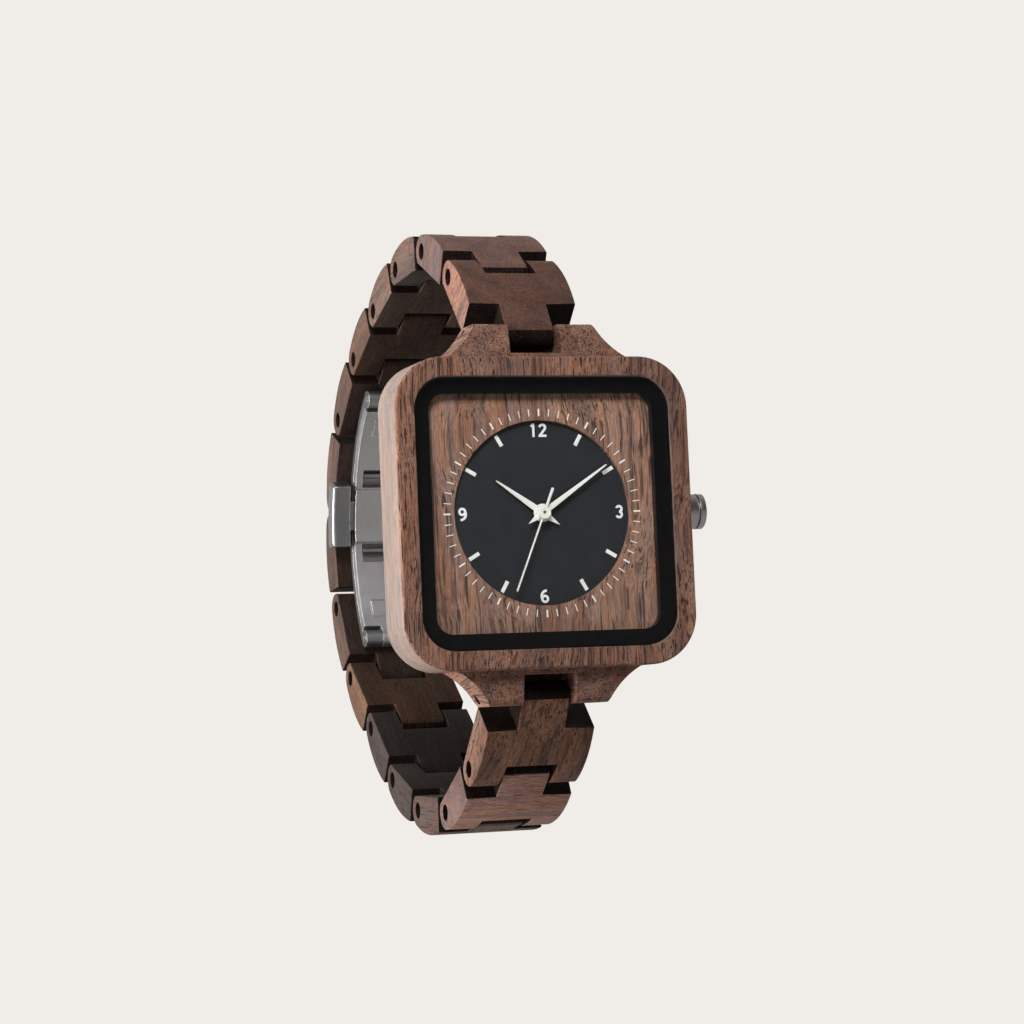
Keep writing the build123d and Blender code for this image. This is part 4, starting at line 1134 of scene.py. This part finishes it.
@dataclass
class PinForm:
    """Link pin with domed ends and a small driven dimple, in millimetres."""

    radius: float = 0.55
    dome: float = 0.16
    dimple: float = 0.22
    dimple_wall: float = 0.04
    dimple_depth: float = 0.08
    sides: int = 28
    square: float = 0.9

    def build(self, name: str, place: Vector, half: float, radius: float) -> Piece:
        """Models a pin along X.

        Args:
            name: the pin's name.
            place: its middle, in metres.
            half: half of its length, in millimetres.
            radius: its radius, in millimetres.

        Returns:
            The pin.
        """
        side = Vector((half * MM, 0, 0))
        pin = Bench.rod(name, radius * MM, place - side, place + side, self.sides)
        Bench.select_faces(pin, lambda face: abs(face.normal.x) > self.square)
        bpy.ops.mesh.inset(thickness=(radius - self.dimple) * MM)
        bpy.ops.mesh.inset(thickness=self.dimple_wall * MM, depth=-self.dimple_depth * MM)
        bpy.ops.object.mode_set(mode="OBJECT")
        Bench.soften(pin, self.dome, angle=50)
        Bench.smooth(pin, angle=40)
        return pin


@dataclass
class Bracelet:
    """Fifteen wooden links on their pins, between the case's lugs and the clasp.

    Each link's tones are its wood's light, middle and dark colours, and a painted light factor for its side walls,
    lighter or darker as the key light falls on them.
    """

    shop: Workshop
    form: LinkForm = field(default_factory=LinkForm)
    pin: PinForm = field(default_factory=PinForm)
    pin_half: float = 5.45
    lug_bar_half: float = 7.0
    drawn_bar_half: float = 2.9
    lug_bar_radius: float = 0.47
    grain_stride: Triple = (31.0, 17.0, 23.0)
    lower_shift: float = 400.0
    steel: Finish = BrushedMetal("link_pin_steel", GrainAxis.ACROSS, color=(96, 95, 95), roughness=0.16)
    upper_tones: tuple[Tones, ...] = (
        ((96, 66, 55), (76, 51, 41), (36, 23, 16), 2.3),
        ((114, 85, 77), (94, 70, 62), (51, 36, 30), 1.0),
        ((99, 75, 64), (80, 60, 50), (41, 29, 23), 1.0),
        ((108, 82, 67), (91, 66, 53), (46, 30, 23), 1.0),
        ((97, 69, 54), (79, 54, 40), (37, 23, 15), 1.0),
        ((85, 62, 50), (70, 50, 39), (34, 20, 15), 1.0),
        ((96, 71, 59), (79, 55, 46), (39, 25, 18), 1.0),
    )
    lower_tones: tuple[Tones, ...] = (
        ((127, 90, 71), (95, 65, 51), (42, 25, 19), 1.0),
        # Painted light: this link faces down, and its pale tones stand for light from below; its side-wall factor of
        # 0.42 takes it back off the walls.
        ((168, 131, 117), (140, 103, 93), (80, 57, 51), 0.42),
        ((82, 61, 52), (65, 45, 37), (32, 20, 15), 1.0),
        ((65, 49, 41), (52, 37, 31), (24, 16, 10), 1.0),
        ((64, 48, 42), (52, 37, 33), (25, 15, 12), 1.0),
        ((110, 78, 56), (91, 61, 43), (45, 27, 17), 1.0),
        ((87, 64, 50), (69, 47, 37), (35, 22, 16), 1.0),
        ((81, 60, 49), (66, 47, 38), (32, 21, 15), 1.0),
    )

    def pins(self) -> tuple[list[Vector], list[Vector]]:
        """Reads the pins' places from the joints.

        Returns:
            The pins of the upper and of the lower half, from the lug to the clasp.
        """
        names = ["upper_lug_hinge", *(f"upper_hinge_{i}" for i in range(1, 7)), "clasp_open"]
        upper = [self.shop.pivot(name) for name in names]
        names = [*(f"lower_hinge_{i}" for i in range(1, 8)), "lower_end_hinge"]
        lower = [Vector((0, upper[0].y, -upper[0].z)), *(self.shop.pivot(name) for name in names)]
        return upper, lower

    @staticmethod
    def stand(start: Vector, end: Vector, side: int) -> Matrix:
        """Places a link so that its x runs from one pin to the next and its y points out of the ring.

        Args:
            start: its tongue pin.
            end: its ear pin.
            side: 1 above the clasp and -1 below it.

        Returns:
            The link's placement.
        """
        along = (end - start).normalized()
        across = Vector((side, 0, 0))
        turn = Matrix((along, across.cross(along), across)).transposed().to_4x4()
        return Matrix.Translation(start) @ turn

    def wood(self, half: str, number: int, tone: Tones, start: Vector, end: Vector) -> LinkWalnut:
        """Chooses the walnut of one link, with its grain along the link.

        Args:
            half: upper or lower.
            number: the link's number from the lug.
            tone: its tones.
            start: its tongue pin.
            end: its ear pin.

        Returns:
            The link's own finish.
        """
        lean = atan2(end.y - start.y, end.z - start.z)
        across, out, along = (stride * number for stride in self.grain_stride)
        shift = (across, out + (self.lower_shift if half == "lower" else 0.0), along)
        axis = {("upper", 1): GrainAxis.THROUGH, ("upper", 2): GrainAxis.THROUGH,
                ("lower", 2): GrainAxis.ACROSS}.get((half, number), GrainAxis.UPRIGHT)
        streaks = 1.0 if (half, number) == ("lower", 1) else 0.45
        return LinkWalnut(f"walnut_{half}_{number}", axis, lean=lean, shift=shift, light=tone[0], middle=tone[1],
                          dark=tone[2], wall_painted_light=tone[3], streaks=streaks, pores=0.75, specks=0.55)

    def build(self) -> None:
        """Makes every link and its pins."""
        model = self.form.build()
        upper, lower = self.pins()
        for half, pins, side, tones in (("upper", upper, 1, self.upper_tones),
                                        ("lower", lower, -1, self.lower_tones)):
            for number, (tone, start, end) in enumerate(zip(tones, pins, pins[1:]), 1):
                name = f"link_{half}_{number}"
                link = Bench.twin(model, f"{name}_wood", self.stand(start, end, side))
                finish = self.wood(half, number, tone, start, end)
                self.shop.install(link, finish, f"{half}_link_{number}", "walnut", name)
                if number % 2:
                    self.pair(half, number, start, end)
        last = self.pin.build("pin_lower_end_steel", lower[-1], self.pin_half, self.pin.radius)
        self.shop.install(last, self.steel, "clasp_lower_blade", "pin_steel", "pin_lower_end")
        bpy.data.objects.remove(model)

    def pair(self, half: str, number: int, first: Vector, second: Vector) -> None:
        """Makes the two pins that an odd link carries.

        Args:
            half: upper or lower.
            number: the link's number.
            first: its tongue pin's place.
            second: its ear pin's place.
        """
        length, radius = self.pin_half, self.pin.radius
        if number == 1:
            length = self.lug_bar_half if half == "upper" else self.drawn_bar_half
            radius = self.lug_bar_radius
        pieces = [self.pin.build("first", first, length, radius),
                  self.pin.build("second", second, self.pin_half, self.pin.radius)]
        pair = Bench.join(f"pins_{half}_{number}_steel", pieces)
        self.shop.install(pair, self.steel, f"{half}_link_{number}", "pin_steel", f"pins_{half}_{number}")


# The case, the dial and the hands


@dataclass
class WatchHead:
    """Case, back, glass and dial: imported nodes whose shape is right, each with its finish."""

    shop: Workshop

    def build(self) -> None:
        """Dresses the case and everything fixed in it."""
        dress = self.shop.dress
        dress(CaseWalnut("walnut_case", light=(145, 108, 91), middle=(110, 80, 69), dark=(38, 25, 23),
                         edge=(176, 142, 114), shift=(3.0, 9.0, 14.0), streaks=0.9, pores=0.85, specks=0.45),
              "case_frame")
        dress(Walnut("walnut_dial", light=(176, 135, 113), middle=(145, 108, 90), dark=(54, 43, 42),
                     shift=(41.0, 5.0, 2.0), streaks=0.9, pores=0.35, specks=0.2, edge_share=0.1), "dial_plate")
        dress(ClearGlass("clear_glass"), "crystal")
        dress(Coated("black_frame_paint", color=(8, 8, 9), second=(10, 10, 12), roughness=0.15, skin=0.03,
                     specular=0.25), "dial_mask")
        dress(Coated("dial_black_paint", color=(37, 38, 42), second=(40, 41, 45), roughness=0.5, grain_size=14.0,
                     skin=0.04, specular=0.2), "dial_disc")
        dress(Coated("white_print", color=(252, 252, 250), second=(246, 246, 243), roughness=0.45, skin=0.05),
              "dial_markers")
        dress(BrushedMetal("back_steel", color=(158, 158, 160)), "case_back")
        dress(BrushedMetal("screw_steel", GrainAxis.ACROSS, color=(176, 176, 178), roughness=0.02), "back_screws")
        dress(Coated("gasket_rubber", color=(24, 24, 24), second=(30, 30, 30), roughness=0.7), "back_gasket")


@dataclass(frozen=True)
class HandForm:
    """One hand as a low roof along its middle, in millimetres; its depth is behind the case's front."""

    node: str
    body: str
    angle: float
    depth: float
    outline: tuple[Place, ...]
    hub: float
    bore: float
    rise: float
    ridge: float = 0.06
    thick: float = 0.14


@dataclass
class Hands:
    """Hour, minute and seconds hands with their hubs."""

    shop: Workshop
    case_depth: float = 8.0
    tip: float = 0.16
    shoulder: float = 1.5
    taper: float = 0.5
    bore_reach: float = 2.0

    def leaf(self, length: float, tail: float, width: float) -> tuple[Place, ...]:
        """Draws a long tapered hand with a short pointed tail.

        Args:
            length: from the centre to the tip.
            tail: from the centre to the tail's point.
            width: its greatest width.

        Returns:
            The outline's points, to the right first.
        """
        half, tip = width / 2, self.tip / 2
        neck = -tail * self.shoulder / (tail + self.shoulder)
        right = [(half, neck), (half, self.shoulder), (tip, length - self.tip)]
        return ((0, -tail), *right, (0, length), *[(-x, y) for x, y in reversed(right)])

    def needle(self, length: float, tail: float, width: float, tail_width: float) -> tuple[Place, ...]:
        """Draws the thin seconds hand with its wider tail.

        Args:
            length: from the centre to the tip.
            tail: from the centre to the tail's end.
            width: the needle's width.
            tail_width: the tail's width.

        Returns:
            The outline's points, to the right first.
        """
        half, wide = width / 2, tail_width / 2
        right = [(wide, -tail), (wide, -self.taper), (half, self.taper), (half, length)]
        return (*right, *[(-x, y) for x, y in reversed(right)])

    def lay(self, form: HandForm) -> Lay:
        """Gives a placing function for a hand turned clockwise from twelve.

        Args:
            form: the hand's sizes.

        Returns:
            The function.
        """
        turn = radians(form.angle)

        def place(x: float, z: float, back: float) -> Vector:
            """Place in metres of a point right of the hand's middle, towards its tip, and behind its front."""
            across, up = x * cos(turn) + z * sin(turn), z * cos(turn) - x * sin(turn)
            return Vector((across * MM, (form.depth + back - self.case_depth) * MM, up * MM))

        return place

    def model(self, form: HandForm) -> Piece:
        """Models one hand: an extruded outline with a raised middle line, a hub and its bore.

        Args:
            form: the hand's sizes.

        Returns:
            The hand.
        """
        lay = self.lay(form)
        front = lay(0, 0, 0)
        side = (lay(1, 0, 0) - front).normalized()
        hand = Bench.prism(f"{form.node}_lacquered", form.outline, form.thick, -form.thick, lay)
        bpy.ops.object.mode_set(mode="EDIT")
        bpy.ops.mesh.select_all(action="SELECT")
        bpy.ops.mesh.bisect(plane_co=front, plane_no=side)
        bpy.ops.mesh.select_all(action="DESELECT")
        bpy.ops.object.mode_set(mode="OBJECT")
        for vertex in hand.data.vertices:
            vertex.select = abs((vertex.co - front).dot(side)) < TINY and vertex.co.y < front.y + TINY
        bpy.ops.object.mode_set(mode="EDIT")
        bpy.ops.transform.translate(value=(0, -form.ridge * MM, 0))
        bpy.ops.object.mode_set(mode="OBJECT")
        hub = Bench.rod("hub", form.hub * MM, lay(0, 0, form.thick), lay(0, 0, -form.rise))
        Bench.combine(hand, hub, "UNION")
        bore = Bench.rod("bore", form.bore * MM, lay(0, 0, self.bore_reach), lay(0, 0, -self.bore_reach), 32)
        Bench.combine(hand, bore, "DIFFERENCE")
        Bench.smooth(hand, angle=20)
        return hand

    def build(self) -> None:
        """Makes the three hands."""
        hour = self.leaf(length=6.4, tail=2.4, width=0.66)
        minute = self.leaf(length=9.3, tail=2.2, width=0.60)
        second = self.needle(length=9.3, tail=2.9, width=0.17, tail_width=0.28)
        forms = (
            HandForm("hour_hand", "hours", angle=304.6, depth=2.18, outline=hour, hub=1.0, bore=0.72, rise=0.02),
            HandForm("minute_hand", "minutes", angle=55.7, depth=1.85, outline=minute, hub=0.85, bore=0.42,
                     rise=0.02),
            HandForm("second_hand", "seconds", angle=202.5, depth=1.50, outline=second, hub=0.7, bore=0.2,
                     rise=0.14, ridge=0.02),
        )
        cream = Coated("hand_lacquer", color=(252, 250, 244), second=(244, 241, 232), roughness=0.3, skin=0.04)
        for form in forms:
            self.shop.install(self.model(form), cream, form.body, "white_paint", form.node)


@dataclass
class Movement:
    """Everything inside the case that the closed back hides."""

    shop: Workshop

    def build(self) -> None:
        """Dresses the quartz movement and the stem's fittings."""
        dress = self.shop.dress
        dress(BrushedMetal("wheel_brass", GrainAxis.ACROSS, color=(196, 160, 92), edge=(230, 200, 140)),
              "hour_wheel", "cannon_pinion", "minute_wheel", "seconds_wheel")
        dress(BrushedMetal("bridge_brass", color=(188, 166, 116), edge=(226, 206, 160)),
              "main_plate", "train_bridge")
        dress(BrushedMetal("small_steel", GrainAxis.ACROSS, color=(176, 176, 178), roughness=0.04),
              "battery_strap", "crown_tube", "winding_stem", "setting_lever", "button_spring")
        dress(BrushedMetal("cell_steel", color=(196, 196, 196), roughness=0.02, depth=0.3), "battery")
        dress(Coated("holder_plastic", color=(226, 224, 216), second=(216, 213, 204), roughness=0.5, skin=0.3),
              "movement_ring")
        dress(CircuitBoard("board_varnish"), "circuit_board")
        dress(BrushedMetal("copper_winding", color=(176, 98, 56), edge=(214, 150, 110), depth=2.0), "step_motor")
        dress(Coated("ring_rubber", color=(22, 22, 22), second=(28, 28, 28), roughness=0.65), "crown_gasket")


# The crown and the clasp


@dataclass
class Crown:
    """Two-step crown, turned from one rod, in millimetres."""

    shop: Workshop
    radius: float = 2.0
    start: float = 17.25
    end: float = 19.75
    depth_place: float = -3.8
    groove_place: float = 1.6
    groove_width: float = 0.16
    groove_depth: float = 0.22
    bore: float = 1.32
    bore_length: float = 1.2
    softness: float = 0.14
    sides: int = 96

    def rod(self, name: str, radius: float, start: float, end: float, sides: int) -> Piece:
        """Adds a rod on the crown's axis, in millimetres."""
        ends = [(x * MM, self.depth_place * MM, 0.0) for x in (start, end)]
        return Bench.rod(name, radius * MM, *ends, sides)

    def build(self) -> None:
        """Models the crown with its groove, its softened rims and its hollow."""
        crown = self.rod("crown_cap", self.radius, self.start, self.end, self.sides)
        left = self.start + self.groove_place
        ring = self.rod("ring", self.radius + 1, left, left + self.groove_width, self.sides)
        core = self.rod("core", self.radius - self.groove_depth, left - 1, left + 1, self.sides)
        Bench.combine(ring, core, "DIFFERENCE")
        Bench.combine(crown, ring, "DIFFERENCE")
        hollow = self.rod("hollow", self.bore, self.start - 1, self.start + self.bore_length, self.sides // 2)
        Bench.combine(crown, hollow, "DIFFERENCE")
        Bench.soften(crown, self.softness, segments=4, angle=50)
        Bench.smooth(crown, angle=35)
        metal = BrushedMetal("crown_gunmetal", color=(128, 125, 126), edge=(200, 198, 198))
        self.shop.install(crown, metal, "crown", "gunmetal", "crown")


@dataclass
class ButterflyClasp:
    """Folding clasp: packed plates with brushed steel along their length, and dark buttons."""

    shop: Workshop

    def build(self) -> None:
        """Dresses the plate, the blades, the buttons and the hinge pins."""
        dress = self.shop.dress
        dress(BrushedMetal("plate_steel", color=(150, 149, 149), roughness=0.2), "clasp_plate")
        # Painted shade: the blades are darker than the plate, for the shadow in the clasp's windows.
        dress(BrushedMetal("blade_steel", color=(122, 121, 121), roughness=0.16),
              "clasp_upper_blade", "clasp_lower_blade")
        dress(BrushedMetal("button_steel", color=(118, 118, 119), edge=(210, 210, 210), roughness=0.1,
                           edge_radius=0.25), "clasp_button_left", "clasp_button_right")
        dress(BrushedMetal("hinge_pin_steel", GrainAxis.ACROSS, color=(190, 190, 192), roughness=0.03),
              "clasp_hinge_pins")


# The studio


@dataclass(frozen=True)
class Lamp:
    """One soft square lamp, in metres and watts."""

    name: str
    place: Triple
    aim: Triple
    size: float
    power: float

    def light(self) -> None:
        """Adds the lamp, facing the point that it is aimed at."""
        data = bpy.data.lights.new(self.name, "AREA")
        data.shape = "SQUARE"
        data.size = self.size
        data.energy = self.power
        lamp = bpy.data.objects.new(self.name, data)
        bpy.context.scene.collection.objects.link(lamp)
        turn = (Vector(self.aim) - Vector(self.place)).to_track_quat("-Z", "Y")
        lamp.matrix_world = Matrix.Translation(Vector(self.place)) @ turn.to_matrix().to_4x4()


@dataclass
class Studio:
    """Pale floor, soft lamps and the camera at the photograph's angle."""

    backdrop: Rgb = (240, 237, 232)
    bounce: Rgb = (180, 177, 173)
    camera_place: Triple = (-111.84, -315.36, -23.51)
    azimuth: float = -19.3
    elevation: float = -4.13
    roll: float = -2.49
    focal_pixels: float = 3000.0
    image_pixels: float = 1024.0
    sensor: float = 36.0
    clip: Place = (0.01, 20.0)
    floor_height: float = -150.0
    floor_size: float = 6.0
    fade_from: float = 0.12
    fade_to: float = 0.24
    world_strength: float = 0.06
    dark_side: float = -0.55
    pale_side: float = 0.1
    lamps: tuple[Lamp, ...] = (
        Lamp("key_left", (-0.50, 0.02, -0.005), (0, 0.02, 0), 0.22, 5.3),
        Lamp("fill_front", (-0.10, -0.20, 0.18), (0, 0.0, 0), 0.10, 0.88),
        Lamp("back_soft", (0.14, 0.46, 0.10), (0, 0.03, 0), 0.25, 0.8),
        Lamp("right_soft", (0.45, 0.06, 0.14), (0, 0.03, 0), 0.3, 1.3),
    )

    def camera(self) -> None:
        """Adds the camera that a fit to the photograph's edges and pins gave."""
        data = bpy.data.cameras.new("photo_camera")
        data.sensor_width = self.sensor
        data.lens = self.focal_pixels / self.image_pixels * self.sensor
        data.clip_start, data.clip_end = self.clip
        camera = bpy.data.objects.new("photo_camera", data)
        bpy.context.scene.collection.objects.link(camera)
        azimuth, elevation, roll = (radians(a) for a in (self.azimuth, self.elevation, self.roll))
        back = Vector((sin(azimuth) * cos(elevation), -cos(azimuth) * cos(elevation), sin(elevation)))
        right = Vector((cos(azimuth), sin(azimuth), 0))
        up = right.cross(-back)
        tilted_right = cos(roll) * right + sin(roll) * up
        tilted_up = -sin(roll) * right + cos(roll) * up
        turn = Matrix((tilted_right, tilted_up, back)).transposed().to_4x4()
        camera.matrix_world = Matrix.Translation(Vector(self.camera_place) * MM) @ turn
        bpy.context.scene.camera = camera

    def world(self) -> None:
        """Sets the pale backdrop that the camera, metal and glass see, and a low even light."""
        world = bpy.data.worlds.new("pale_room")
        graph = Graph.empty(world)
        direct, mirrored = graph.rays()
        way = graph.add("TexCoord").outputs["Generated"]
        ahead = graph.add("SeparateXYZ", {0: way}).outputs["Y"]
        pale = graph.larger(direct, graph.times(mirrored, graph.steps(ahead, self.dark_side, self.pale_side)))
        lit, shown = (graph.add("Background", {"Color": linear(self.backdrop), "Strength": strength}).outputs[0]
                      for strength in (self.world_strength, 1.0))
        graph.add("OutputWorld", {"Surface": graph.shade(pale, lit, shown)})
        bpy.context.scene.world = world

    def floor(self) -> None:
        """Adds the floor, which keeps the shadow near the watch and becomes the backdrop further out.

        From below it is clear.
        """
        Bench.clear()
        bpy.ops.mesh.primitive_plane_add(size=self.floor_size, location=(0, 0, self.floor_height * MM))
        floor = Bench.settle("studio_floor")
        material = bpy.data.materials.new("pale_floor")
        graph = Graph.empty(material)
        distance = graph.add("VectorMath", {0: graph.object_place()}, operation="LENGTH").outputs["Value"]
        seen = graph.larger(*graph.rays())
        share = graph.times(graph.steps(distance, self.fade_from, self.fade_to), seen)
        tone = graph.mix(seen, linear(self.bounce), linear(self.backdrop))
        matt = graph.add("BsdfDiffuse", {"Color": tone}).outputs[0]
        plain = graph.add("Emission", {"Color": linear(self.backdrop), "Strength": 1.0}).outputs[0]
        below = graph.add("NewGeometry").outputs["Backfacing"]
        clear = graph.add("BsdfTransparent").outputs[0]
        graph.add("OutputMaterial", {"Surface": graph.shade(below, graph.shade(share, matt, plain), clear)})
        floor.data.materials.append(material)

    def build(self) -> None:
        """Sets up the camera, the lamps, the floor and the plain view."""
        self.camera()
        self.world()
        self.floor()
        for lamp in self.lamps:
            lamp.light()
        bpy.context.scene.view_settings.view_transform = "Standard"
        LOG.info("studio ready")


def main() -> None:
    """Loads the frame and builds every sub-assembly."""
    logging.basicConfig(level=logging.INFO, format="%(message)s")
    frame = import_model()
    shop = Workshop(frame, Effects())
    for part in (WatchHead(shop), Hands(shop), Movement(shop), Crown(shop), Bracelet(shop), ButterflyClasp(shop)):
        part.build()
    Studio().build()


if __name__ == "__main__":
    main()
